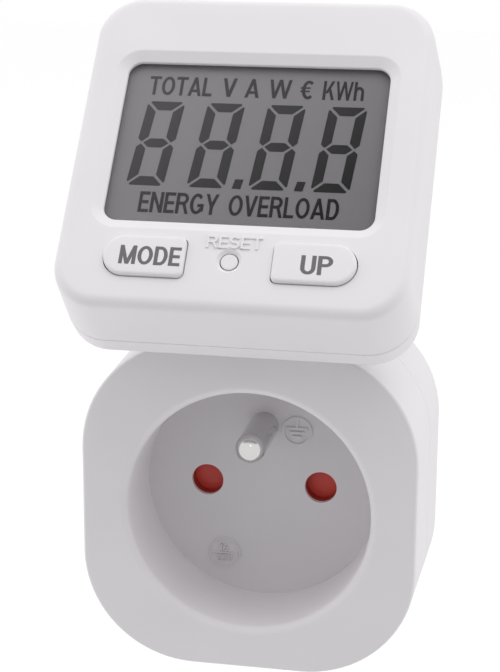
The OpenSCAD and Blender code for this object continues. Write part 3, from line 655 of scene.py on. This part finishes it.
def head_row(depth, inset=0.0):
    """Head outline as a row at its depth."""
    return row(head_line(depth, inset), depth)


def window_row(depth, grow=0.0):
    """Window outline, grown by the same amount all round, as a row at a depth."""
    return row(rounded(WIN_W + 2 * grow, WIN_H + 2 * grow, WIN_R + grow, (0, WIN_V)), depth)


rebate_rows = [window_row(HEAD_WALL, LENS_RIM), window_row(LENS_SEAT, LENS_RIM), window_row(LENS_SEAT)]
rebate_rows += [window_row(BEVEL_D + LIP_EDGE)]
bevel_rows = [window_row(BEVEL_D * (1 - f), BEVEL_W * f) for f in BEVEL_STEPS]
rim_rows = [window_row(0.0, BEVEL_W + e) for e in RIM_EASE]
head_edge = [head_row(d, i) for d, i in quarter(FACE_ROUND)]
bezel_rows = rebate_rows + bevel_rows + rim_rows + between(rim_rows[-1], head_edge[0], 4) + head_edge
bezel_rows += [head_row(d) for d in np.linspace(FACE_ROUND, HEAD_SEAM - SEAM_BEVEL, 5)[1:]]
bezel_rows += [head_row(HEAD_SEAM, SEAM_BEVEL), head_row(HEAD_SEAM, HEAD_WALL)]
bezel_rows += [head_row(HEAD_WALL, HEAD_WALL)]
print("head front rows", len(bezel_rows))

# %% Openings for the keys, and the finished head front
KEY_W, KEY_H, KEY_U, KEY_V, KEY_CORNER, KEY_PROUD, SLIDE = 12.1, 6.3, 12.45, -18.85, 0.9, 0.8, 0.15
HOLE_FROM, HOLE_TO = -1.0, 3.0  # cutters start before the face and end behind its wall
RESET_R, RESET_SINK, DISH_R, DISH_D, DISH_FLARE = 1.25, 0.3, 1.9, 0.45, (0.3, -0.2)
SMALLEST = 0.15  # least corner radius of a shrunk key outline


def key_line(side, grow=0.0):
    """Long key's outline: half circle at the outer end, two small corners at the inner end."""
    h, w, c = KEY_H / 2 + grow, KEY_W / 2 + grow, max(KEY_CORNER + grow, SMALLEST)
    a = np.linspace(-np.pi / 2, np.pi / 2, 33)
    end = np.stack([w - h + h * np.cos(a), h * np.sin(a)], -1)
    b = np.linspace(np.pi / 2, np.pi, 9)
    top = np.stack([c - w + c * np.cos(b), h - c + c * np.sin(b)], -1)
    low = np.stack([c - w + c * np.cos(b[::-1]), c - h - c * np.sin(b[::-1])], -1)
    f = np.linspace(0, 1, 13)[1:-1, None]
    line = np.concatenate([end, end[-1] * (1 - f) + top[0] * f, top, top[-1] * (1 - f) + low[0] * f, low,
                           low[-1] * (1 - f) + end[0] * f])
    return line * np.array([side, 1.0]) + np.array([side * KEY_U, KEY_V])


def head_prism(line, w0, w1):
    """Outline carried straight back from depth w0 to w1."""
    return shell([row(line, w0), row(line, w1)], in_head)


head_shell = new_piece("head_front_shell", [shell(bezel_rows, in_head, ring=True)])
dish_profile = ((DISH_R + DISH_FLARE[0], DISH_FLARE[1]), (DISH_R, 0.0), (RESET_R + SLIDE, DISH_D))
dish = shell([row(ring_of(r, 64, (0, KEY_V)), d) for r, d in dish_profile], in_head)
key_holes = [head_prism(key_line(s, SLIDE), HOLE_FROM, HOLE_TO) for s in (-1, 1)]
reset_hole = head_prism(ring_of(RESET_R + SLIDE, 64, (0, KEY_V)), HOLE_FROM, HOLE_TO)
cut(head_shell, key_holes + [reset_hole, dish])
finish_piece(head_shell, WHITE, "head", "white_plastic", "head_bezel")

# %% [markdown]
# ## The head's back cover
#
# A shallow tray closes the head. It carries four screw wells and the knuckle that the hinge pivots
# sit in. The knuckle is a bar along the hinge axis with a gusset that runs up the cover.

# %% Head back and knuckle
POST_X, POST_V, SMALL_WELL, WELL_TO = 21.8, 22.5, 2.4, 16.0
KNUCKLE, KNUCKLE_ROOT, GUSSET = 10.0, 14.4, 2.4
COVER_MID = rounded(8, 8, 3)  # small patch round the middle of the cover

cover_rows = [row(COVER_MID, HEAD_D)]
cover_edge = [head_row(HEAD_D - d, i) for d, i in quarter(BACK_ROUND, 5)]
cover_rows += between(cover_rows[0], cover_edge[0], 3) + cover_edge
cover_rows += [head_row(HEAD_SEAM + SEAM_BEVEL), head_row(HEAD_SEAM, SEAM_BEVEL)]
cover_rows += [head_row(HEAD_SEAM, HEAD_WALL), head_row(HEAD_D - HEAD_WALL, HEAD_WALL)]
cover_rows += [row(COVER_MID, HEAD_D - HEAD_WALL)]


def knuckle_line(inset=0.0):
    """Side view of the knuckle in (depth, height): a round nose on a gusset that meets the cover."""
    r = EAR_R - inset
    a = np.linspace(-np.pi / 2, np.pi / 2, 33)
    nose = np.stack([HINGE_W + r * np.cos(a), HINGE_V + r * np.sin(a)], -1)
    root = np.array([[KNUCKLE_ROOT, HINGE_V + GUSSET * EAR_R - inset], [KNUCKLE_ROOT, HINGE_V - r]])
    f = np.linspace(0, 1, 13)[1:, None]
    climb = nose[-1] * (1 - f) + root[0] * f
    down = root[0] * (1 - f) + root[1] * f
    home = root[1] * (1 - f[:-1]) + nose[0] * f[:-1]
    return np.concatenate([nose, climb, down, home])


knuckle_rows = [ear_row(knuckle_line(i), -KNUCKLE + d) for d, i in SOFT_EDGE]
knuckle_rows += [ear_row(knuckle_line(i), KNUCKLE - d) for d, i in SOFT_EDGE[::-1]]

head_cover = new_piece("head_back_cover", [shell(cover_rows, in_head)])
small_wells = [ring_of(SMALL_WELL, 40, (sx * POST_X, sv * POST_V)) for sx in (-1, 1) for sv in (-1, 1)]
cut(head_cover, [head_prism(line, HEAD_D - HEAD_WALL, WELL_TO) for line in small_wells])
finish_piece(head_cover, WHITE, "head", "white_plastic", "head_back")
hinge_knuckle = new_piece("hinge_knuckle", [shell(knuckle_rows, in_head)])
finish_piece(hinge_knuckle, WHITE, "head", "white_plastic")

# %% [markdown]
# ## Keys
#
# The two long keys stand a little proud of the face. Their tops are gently crowned and their edges
# are rolled, so each catches a thin line of light. The reset key is a small pin, sunk in its dish so
# that no one presses it by chance.

# %% Key caps
KEY_CROWN = ((-2.4, -0.03), (-1.6, -0.025), (-0.9, -0.01))  # growth of the outline, and its rise
KEY_ROLL, KEY_FOOT = 0.45, (2.0, 3.0)


def key_rows(side):
    """Cap from the middle of its crowned top, over a rolled edge, down to its hidden foot."""
    top = [row(key_line(side, g), -KEY_PROUD + d) for g, d in KEY_CROWN]
    edge = [row(key_line(side, -i), -KEY_PROUD + d) for d, i in quarter(KEY_ROLL, 6)]
    return top + edge + [row(key_line(side), d) for d in KEY_FOOT]


mode_cap = new_piece("mode_key_cap", [shell(key_rows(-1), in_head)])
up_cap = new_piece("up_key_cap", [shell(key_rows(1), in_head)])
# radius and depth from the middle of the pin's top, over its rounded edge, down its side
pin_profile = [(0.4, 0.0), (0.9, 0.0), (1.1, 0.01), (1.19, 0.04), (RESET_R, 0.1), (RESET_R, 3.1)]
reset_rows = [row(ring_of(r, 48, (0, KEY_V)), RESET_SINK + d) for r, d in pin_profile]
reset_cap = new_piece("reset_key_cap", [shell(reset_rows, in_head)])
finish_piece(mode_cap, KEY, "mode_key", "key_plastic", "mode_button")
finish_piece(up_cap, KEY, "up_key", "key_plastic", "up_button")
finish_piece(reset_cap, KEY, "reset_key", "key_plastic", "reset_button")

# %% [markdown]
# ## Lettering
#
# The legends are plain function words and unit signs in a narrow bold type. A font would need
# thickening, which spoils sharp corners, so the letters are drawn as a sign painter does: each one is a
# few straight strokes and bows of one width on a line of height 1. Every stroke is a strip between
# two edges, and a word is stretched to the box that it fills on the object. Strokes that cross differ
# a few thousandths of a millimetre in height, so that no two faces share one plane.

# %% Strokes


def level(x0, x1, y, t):
    """Level stroke (2, 2, 2) as its two edges, t high, with its middle at height y."""
    return np.array([[[x0, y - t / 2], [x1, y - t / 2]], [[x0, y + t / 2], [x1, y + t / 2]]])


def slant(low, high, s, y0=0.0, y1=1.0):
    """Straight stroke, s wide and cut level at its ends: its left edge runs from (low, y0) to (high, y1)."""
    left = np.array([[low, y0], [high, y1]])
    return np.stack([left, left + np.array([s, 0.0])])


def bow(x, y, rx, ry, a0, a1, s, t):
    """Part of a ring from angle a0 to a1: outer ellipse (rx, ry) about (x, y), inner one less by s and t."""
    a = np.radians(np.linspace(a0, a1, 25))
    c = np.stack([np.cos(a), np.sin(a)], -1)
    return np.array([x, y]) + np.stack([c * np.array([rx, ry]), c * np.array([rx - s, ry - t])])


print("points of a full bow", bow(0, 0, 1, 1, 0, 360, 0.1, 0.1).shape)

# %% Alphabet


def alphabet(s, t):
    """Letters for one weight, s wide uprights and t high levels: each is its width and its strokes."""
    low, high, thin = t / 2, 1 - t / 2, 0.85 * s
    half = 0.25 + t / 4  # half height of one storey of S or P, whose middle stroke is shared
    bowl = [level(0, 0.36, high, t), level(0, 0.36, 0.5, t),
            bow(0.35, 1 - half, 0.32, half, -90, 90, s, t)]
    return {
        "T": (0.68, [level(0, 0.68, high, t), slant(0.34 - s / 2, 0.34 - s / 2, s)]),
        "O": (0.78, [bow(0.39, 0.5, 0.39, 0.5, 0, 360, s, t)]),
        "A": (0.78, [slant(0, 0.39 - s / 2, s), slant(0.78 - s, 0.39 - s / 2, s),
                     level(0.15, 0.63, 0.27, 0.9 * t)]),
        "L": (0.56, [slant(0, 0, s), level(0, 0.56, low, t)]),
        "V": (0.72, [slant(0.36 - s / 2, 0, s), slant(0.36 - s / 2, 0.72 - s, s)]),
        "W": (1.06, [slant(0.2, 0, thin), slant(0.2, 0.53 - thin / 2, thin),
                     slant(0.86 - thin, 0.53 - thin / 2, thin), slant(0.86 - thin, 1.06 - thin, thin)]),
        "€": (0.68, [bow(0.41, 0.5, 0.34, 0.5, 48, 312, s, t), level(0, 0.5, 0.6, t / 2),
                     level(0, 0.48, 0.42, t / 2)]),
        "K": (0.70, [slant(0, 0, s), slant(0.14, 0.68 - s, s, 0.36), slant(0.72 - s, 0.3, s, 0, 0.62)]),
        "h": (0.62, [slant(0, 0, s), bow(0.31, 0.42, 0.31, 0.32, 0, 180, s, t),
                     slant(0.62 - s, 0.62 - s, s, 0, 0.42)]),
        "E": (0.58, [slant(0, 0, s), level(0, 0.58, low, t), level(0, 0.54, 0.5, t),
                     level(0, 0.58, high, t)]),
        "N": (0.70, [slant(0, 0, s), slant(0.7 - s, 0.7 - s, s), slant(0.7 - s, 0, s)]),
        "R": (0.70, [slant(0, 0, s), *bowl, slant(0.72 - s, 0.34, s, 0, 0.5)]),
        "G": (0.76, [bow(0.38, 0.5, 0.38, 0.5, 42, 325, s, t), level(0.42, 0.76, 0.42, t),
                     slant(0.76 - s, 0.76 - s, s, 0.14, 0.5)]),
        "Y": (0.72, [slant(0.36 - s / 2, 0, s, 0.38), slant(0.36 - s / 2, 0.72 - s, s, 0.38),
                     slant(0.36 - s / 2, 0.36 - s / 2, s, 0, 0.44)]),
        "D": (0.68, [slant(0, 0, s), level(0, 0.33, low, t), level(0, 0.33, high, t),
                     bow(0.32, 0.5, 0.36, 0.5, -90, 90, s, t)]),
        "M": (0.86, [slant(0, 0, s), slant(0.86 - s, 0.86 - s, s), slant(0.43 - s / 2, 0, s),
                     slant(0.43 - s / 2, 0.86 - s, s)]),
        "U": (0.68, [slant(0, 0, s, 0.34), slant(0.68 - s, 0.68 - s, s, 0.34),
                     bow(0.34, 0.34, 0.34, 0.34, 180, 360, s, t)]),
        "P": (0.67, [slant(0, 0, s), *bowl]),
        "S": (0.64, [bow(0.32, 1 - half, 0.31, half, 25, 270, s, t),
                     bow(0.32, half, 0.32, half, 90, -155, s, t)]),
        "1": (0.44, [slant(0.44 - s, 0.44 - s, s), slant(0, 0.44 - s, s, 0.7)]),
        "2": (0.62, [bow(0.31, 0.69, 0.31, 0.31, -25, 165, s, t), slant(0, 0.4, s, 0.08, 0.58),
                     level(0, 0.62, low, t)]),
        "5": (0.62, [level(0.08, 0.58, high, t), slant(0.05, 0.08, s, 0.46),
                     bow(0.3, 0.33, 0.32, 0.33, -150, 120, s, t)]),
        "6": (0.64, [bow(0.32, 0.33, 0.32, 0.33, 0, 360, s, t), bow(0.4, 0.4, 0.4, 0.6, 70, 180, s, t)]),
        "0": (0.64, [bow(0.32, 0.5, 0.32, 0.5, 0, 360, s, t)]),
    }


HEAVY, BOLD, LIGHT = alphabet(0.192, 0.155), alphabet(0.176, 0.145), alphabet(0.14, 0.12)
print("letters", "".join(BOLD))

# %% Words and legends
LETTER_GAP, STAGGER, INK_THICK = 0.08, 0.003, 0.03


def strip_plate(line, depth, place, thick):
    """Raised strip from an outline whose two halves run side by side: quads across, and a wall round it."""
    n = len(line) // 2
    pts = np.concatenate([row(line, depth), row(line, depth - thick)])
    i = np.arange(n - 1)
    j = np.arange(2 * n)
    top = np.stack([2 * n + i, 2 * n + i + 1, 4 * n - 2 - i, 4 * n - 1 - i], -1)
    wall = np.stack([j, (j + 1) % (2 * n), 2 * n + (j + 1) % (2 * n), 2 * n + j], -1)
    bottom = np.stack([i + 1, i, 2 * n - 1 - i, 2 * n - 2 - i], -1)
    faces = np.concatenate([top, wall, bottom])
    pts = place(pts)
    return pts, [tuple(f) for f in outward(pts, faces).tolist()]


def word(text, box, depth, place, thick=INK_THICK, style=BOLD):
    """Word as strips: letters side by side at height 1, stretched to box (left, low, right, high)."""
    left, low, right_end, high = box
    widths = np.array([style[c][0] for c in text])
    starts = np.cumsum(widths + LETTER_GAP) - widths - LETTER_GAP
    stretch = np.array([(right_end - left) / (starts[-1] + widths[-1]), high - low])
    edges = [(e + np.array([x, 0.0])) * stretch + np.array([left, low])
             for c, x in zip(text, starts) for e in style[c][1]]
    return [strip_plate(np.concatenate([e[0], e[1][::-1]]), depth, place, thick + STAGGER * (k % 6))
            for k, e in enumerate(edges)]


KEY_TOP = -KEY_PROUD - 0.02
MODE_BOX, UP_BOX = (-15.95, -20.5, -6.9, -17.5), (10.57, -20.78, 15.17, -17.78)
RESET_BOX, RESET_ROOT, RESET_THICK = (-3.61, -16.9, 4.59, -14.95), 0.05, 0.28
mode_legend = new_piece("mode_legend", word("MODE", MODE_BOX, KEY_TOP, in_head, INK_THICK, HEAVY))
up_legend = new_piece("up_legend", word("UP", UP_BOX, KEY_TOP, in_head, INK_THICK, HEAVY))
reset_legend = new_piece("reset_legend", word("RESET", RESET_BOX, RESET_ROOT, in_head, RESET_THICK, LIGHT))
finish_piece(mode_legend, PRINT, "mode_key", "grey_plastic")
finish_piece(up_legend, PRINT, "up_key", "grey_plastic")
finish_piece(reset_legend, WHITE, "head", "white_plastic")

# %% [markdown]
# ## The display
#
# A reflective display is a grey sheet with darker shapes in it. Every digit is the same seven
# leaning bars with pointed ends, so one bar function and a table of places draw all four digits.
# The words above and below them stand upright.

# %% Lens and display panel
LENS_FRONT, LENS_BACK, LENS_PLAY, LENS_SOFT = 1.37, 1.95, 0.05, 0.05
PANEL_FRONT, PANEL_BACK, PANEL_W, PANEL_H, PANEL_R, PANEL_SOFT = 2.0, 4.4, 43.3, 30.5, 0.6, 0.1
FLAT = 1.5  # inset of the row that carries a plate's flat face


def panel_rows(w, h, r, d0, d1, soft):
    """Rounded plate from depth d0 to d1 with a small bevel, soft, round its front."""
    line = lambda i: rounded(w - 2 * i, h - 2 * i, r, (0, WIN_V))
    front = [row(line(FLAT), d0), row(line(soft), d0), row(line(0), d0 + soft)]
    return front + [row(line(0), d1), row(line(FLAT), d1)]


LENS_GROW = LENS_RIM - LENS_PLAY
lens_rows = panel_rows(WIN_W + 2 * LENS_GROW, WIN_H + 2 * LENS_GROW, WIN_R + LENS_GROW,
                       LENS_FRONT, LENS_BACK, LENS_SOFT)
lens = new_piece("window_clear_lens", [shell(lens_rows, in_head)])
glass_rows = panel_rows(PANEL_W, PANEL_H, PANEL_R, PANEL_FRONT, PANEL_BACK, PANEL_SOFT)
panel = new_piece("display_panel", [shell(glass_rows, in_head)])
finish_piece(lens, LENS, "head", "clear_lens", "window_lens")
finish_piece(panel, SCREEN, "head", "display_glass", "lcd_panel")

# %% Digits and words of the display
DIGIT_W, DIGIT_H, BAR, GAP = 5.75, 14.62, 1.52, 0.32
DIGIT_LEAN = 1.3 / DIGIT_H
DIGIT_LOW, DIGIT_PITCH = -5.9, 9.28
DIGIT_LEFT = -17.8 + DIGIT_PITCH * np.arange(4)
TIP_IN, TIP_MID, TIP_DOWN = 0.25, 0.12, 0.22  # blunted end of a level bar
HEEL_DOWN, HEEL_IN, HEEL_MID = 0.38, 0.2, 0.24  # blunted outer corner of an upright bar
POINT, POINT_GAP, WAIST_GAP = 0.4, 0.55, 0.75  # points of the bars where they meet at the waist
DOT = np.array([[-0.8, -0.8], [0.48, -0.8], [0.8, 0.8], [-0.48, 0.8]])
DOT_BACK, DOT_UP, DOT_DIGITS = 1.6, 0.8, (2, 3)  # a dot stands before the third and the fourth digit
INK_AT = PANEL_FRONT - 0.01
UPPER, LOWER = (9.92, 13.22), (-10.42, -6.97)  # foot and head of the two lines of words
WORDS = (("TOTAL", -16.82, -6.97, UPPER), ("V", -5.4, -3.25, UPPER), ("A", -1.85, 0.35, UPPER),
         ("W", 1.8, 5.2, UPPER), ("€", 6.6, 8.6, UPPER), ("KWh", 10.04, 16.24, UPPER),
         ("ENERGY", -15.28, -3.28, LOWER), ("OVERLOAD", -1.68, 14.62, LOWER))


def digit_bars(left):
    """Seven bars (7, 6, 2) of one digit: mitred at the corners, pointed at the waist, leaned by height."""
    w, h, t, g = DIGIT_W, DIGIT_H, BAR, GAP
    cap = np.array([[g + TIP_IN, h], [w - g - TIP_IN, h], [w - g - TIP_MID, h - TIP_DOWN],
                    [w - t - g, h - t], [t + g, h - t], [g + TIP_MID, h - TIP_DOWN]])
    post = np.array([[0, h - g - HEEL_DOWN], [HEEL_IN, h - g - HEEL_MID], [t, h - t - g],
                     [t, h / 2 + t / 2 + g], [POINT * t, h / 2 + POINT_GAP * g], [0, h / 2 + WAIST_GAP]])
    waist = np.array([[POINT * t + g, h / 2], [t + g, h / 2 + t / 2], [w - t - g, h / 2 + t / 2],
                      [w - POINT * t - g, h / 2], [w - t - g, h / 2 - t / 2], [t + g, h / 2 - t / 2]])
    flip_x = lambda bar: np.array([w, 0]) + bar * np.array([-1, 1])
    flip_y = lambda bar: np.array([0, h]) + bar * np.array([1, -1])
    bars = np.array([cap, flip_y(cap), waist, post, flip_x(post), flip_y(post), flip_x(flip_y(post))])
    bars[..., 0] += left + DIGIT_LEAN * bars[..., 1]
    bars[..., 1] += DIGIT_LOW
    return bars


bars = np.concatenate([digit_bars(x) for x in DIGIT_LEFT])
dots = [DOT + np.array([DIGIT_LEFT[k] - DOT_BACK, DIGIT_LOW + DOT_UP]) for k in DOT_DIGITS]
marks = [head_prism(line, INK_AT, INK_AT - INK_THICK) for line in (*bars, *dots)]
for text, left, right_end, line in WORDS:
    marks += word(text, (left, line[0], right_end, line[1]), INK_AT, in_head)
display_marks = new_piece("display_marks", marks)
finish_piece(display_marks, INK, "head", "display_glass")

# %% [markdown]
# ## Signs on the floor of the well
#
# Beside the earth pin the floor carries the usual protective-earth sign, and low on the left a
# small round rating mark, amperes over volts. Both are raised in the plastic itself, so they show only
# by their edges.

# %% Raised signs
SIGN_T, SIGN_X, SIGN_Z, SIGN_R, SIGN_LINE = 0.26, 5.45, 9.4, 2.3, 0.2
STEM, EARTH_BARS = (0.5, 2.1), ((1.75, 0.5), (1.3, -0.22), (0.8, -0.95))  # bars: half length and rise
RATING_AT, RATING_R, RATING_LINE = (-6.5, -12.7), 2.55, 0.25
AMPS_BOX, VOLTS_BOX = (-7.6, -12.45, -5.9, -11.2), (-8.0, -14.25, -5.2, -13.0)
RATING_BAR = (-8.7, -4.3, -12.82, -12.6)
ALL_ROUND, RING_STEPS = (0, 359.9), 64
BAR_PROUD = 0.01  # the bars stand above the stem that they cross


def arc_strip(r, width, a0, a1, mid):
    """Part of a ring as a closed outline (n, 2): out along the outer edge, back along the inner one."""
    a = np.linspace(np.radians(a0), np.radians(a1), RING_STEPS)
    c = np.stack([np.cos(a), np.sin(a)], -1)
    return np.concatenate([c * (r + width / 2), c[::-1] * (r - width / 2)]) + np.array(mid)


def bar_plate(x0, x1, z0, z1, thick):
    """Raised bar on the floor of the well."""
    line = np.array([[x0, z0], [x1, z0], [x1, z1], [x0, z1]])
    return shell([row(line, WELL_D), row(line, WELL_D - thick)], in_body)


earth_ring = arc_strip(SIGN_R, 2 * SIGN_LINE, *ALL_ROUND, (SIGN_X, SIGN_Z))
ground = [strip_plate(earth_ring, WELL_D, in_body, SIGN_T),
          bar_plate(SIGN_X - SIGN_LINE, SIGN_X + SIGN_LINE, SIGN_Z + STEM[0], SIGN_Z + STEM[1], SIGN_T)]
for half, rise in EARTH_BARS:
    foot, top = SIGN_Z + rise - SIGN_LINE, SIGN_Z + rise + SIGN_LINE
    ground.append(bar_plate(SIGN_X - half, SIGN_X + half, foot, top, SIGN_T + BAR_PROUD))
rating_ring = arc_strip(RATING_R, RATING_LINE, *ALL_ROUND, RATING_AT)
rating = [strip_plate(rating_ring, WELL_D, in_body, SIGN_T)]
rating += word("16", AMPS_BOX, WELL_D, in_body, SIGN_T, LIGHT)
rating += word("250", VOLTS_BOX, WELL_D, in_body, SIGN_T, LIGHT)
rating.append(bar_plate(*RATING_BAR, SIGN_T))
floor_signs = new_piece("floor_signs", ground + rating)
# The raised signs take the well's darker white: painted shade.
finish_piece(floor_signs, SHADED_WELL_WHITE, "socket", "well_plastic")

# %% [markdown]
# ## Studio
#
# The picture is a product shot on pure white, with no shadow on the ground: the light of a white
# tent, bright all round and above, dim where the camera looks in and dim again far behind. With x to
# the right, y away from the camera and z up, the tent's brightness in a direction is
# mean + slope_x x + slope_z z - front max(-y, 0)^2 - rear max(y, 0).
# One large lamp above adds a direct light, and a small one near the camera puts a spark on the metal
# pin. Mirrors and glass see the same white as the camera does, and the floor, far below, takes the
# object's shadow.

# %% Floor
FLOOR_HALF, FLOOR_Z = 3.0, -0.19
floor_data = bpy.data.meshes.new("studio_floor")
square = np.array([[-1, -1, 0], [1, -1, 0], [1, 1, 0], [-1, 1, 0]]) * FLOOR_HALF + np.array([0, 0, FLOOR_Z])
floor_data.from_pydata(square.tolist(), [], [(0, 1, 2, 3)])
floor = bpy.data.objects.new("studio_floor", floor_data)
bpy.context.scene.collection.objects.link(floor)
floor_mat, _, floor_bsdf = base_material("pale_floor", 0.9)
floor_bsdf.inputs["Base Color"].default_value = (0.99, 0.99, 0.99, 1)
floor_data.materials.append(floor_mat)
floor.visible_diffuse = floor.visible_glossy = floor.visible_transmission = False
print("floor at", FLOOR_Z, "m")

# %% Light tent
TENT_MEAN, TENT_SLOPE, TENT_FRONT, TENT_REAR = 1.38, (-0.15, 0.0, -0.04), 1.23, 0.9
world = bpy.data.worlds.new("light_tent")
bpy.context.scene.world = world
world.use_nodes = True
wt = world.node_tree
wt.nodes.clear()


def tent_node(kind, operation=None, value=None):
    """World node with its operation, and its second input set when a value is given."""
    n = wt.nodes.new(kind)
    if operation:
        n.operation = operation
    if value is not None:
        n.inputs[1].default_value = value
    return n


def tent_chain(source, *steps):
    """Joins one-input maths nodes in a row and gives back the last output."""
    for n in steps:
        wt.links.new(source, n.inputs[0])
        source = n.outputs["Value"]
    return source


def maths(operation, value):
    """Maths node of the world with its second input set."""
    return tent_node("ShaderNodeMath", operation, value)


out, wmix = tent_node("ShaderNodeOutputWorld"), tent_node("ShaderNodeMixShader")
tent, white = tent_node("ShaderNodeBackground"), tent_node("ShaderNodeBackground")
wpath, wcoord = tent_node("ShaderNodeLightPath"), tent_node("ShaderNodeTexCoord")
axes = tent_node("ShaderNodeSeparateXYZ")
wt.links.new(wcoord.outputs["Generated"], axes.inputs[0])
slope = tent_node("ShaderNodeVectorMath", "DOT_PRODUCT", TENT_SLOPE)
even = tent_chain(wcoord.outputs["Generated"], slope, maths("ADD", TENT_MEAN))
front = tent_chain(axes.outputs["Y"], maths("MINIMUM", 0.0), maths("POWER", 2.0),
                   maths("MULTIPLY", TENT_FRONT))
rear = tent_chain(axes.outputs["Y"], maths("MAXIMUM", 0.0), maths("MULTIPLY", TENT_REAR))
for dim in (front, rear):
    less = tent_node("ShaderNodeMath", "SUBTRACT")
    wt.links.new(even, less.inputs[0])
    wt.links.new(dim, less.inputs[1])
    even = less.outputs["Value"]
white.inputs["Color"].default_value = tent.inputs["Color"].default_value = (1, 1, 1, 1)
wt.links.new(even, tent.inputs["Strength"])
seen = wpath.outputs["Is Camera Ray"]
for kind in ("Is Glossy Ray", "Is Transmission Ray"):
    either = tent_node("ShaderNodeMath", "MAXIMUM")
    wt.links.new(seen, either.inputs[0])
    wt.links.new(wpath.outputs[kind], either.inputs[1])
    seen = either.outputs["Value"]
wt.links.new(seen, wmix.inputs["Fac"])
wt.links.new(tent.outputs["Background"], wmix.inputs[1])
wt.links.new(white.outputs["Background"], wmix.inputs[2])
wt.links.new(wmix.outputs["Shader"], out.inputs["Surface"])
print("tent nodes", len(wt.nodes))

# %% Lamps


def lamp(name, place, aim, size, watts):
    """Square area lamp at a place in metres, turned to look at the aim point."""
    data = bpy.data.lights.new(name, "AREA")
    data.shape, data.size, data.energy = "SQUARE", size, watts
    obj = bpy.data.objects.new(name, data)
    bpy.context.scene.collection.objects.link(obj)
    z = np.array(place) - np.array(aim)
    z = z / np.linalg.norm(z)
    x = np.cross([0.0, 0.0, 1.0], z)
    x = x / np.linalg.norm(x)
    m = np.eye(4)
    m[:3, 0], m[:3, 1], m[:3, 2], m[:3, 3] = x, np.cross(z, x), z, place
    obj.matrix_world = Matrix(m.tolist())


lamp("top_softbox", place=(0.3, -0.2, 0.8), aim=(0.0, -0.04, 0.03), size=0.6, watts=1.3)
lamp("spark", place=(0.12, -0.68, 0.45), aim=(0.0, -0.045, 0.01), size=0.06, watts=0.04)

bpy.context.scene.view_settings.view_transform = "Standard"
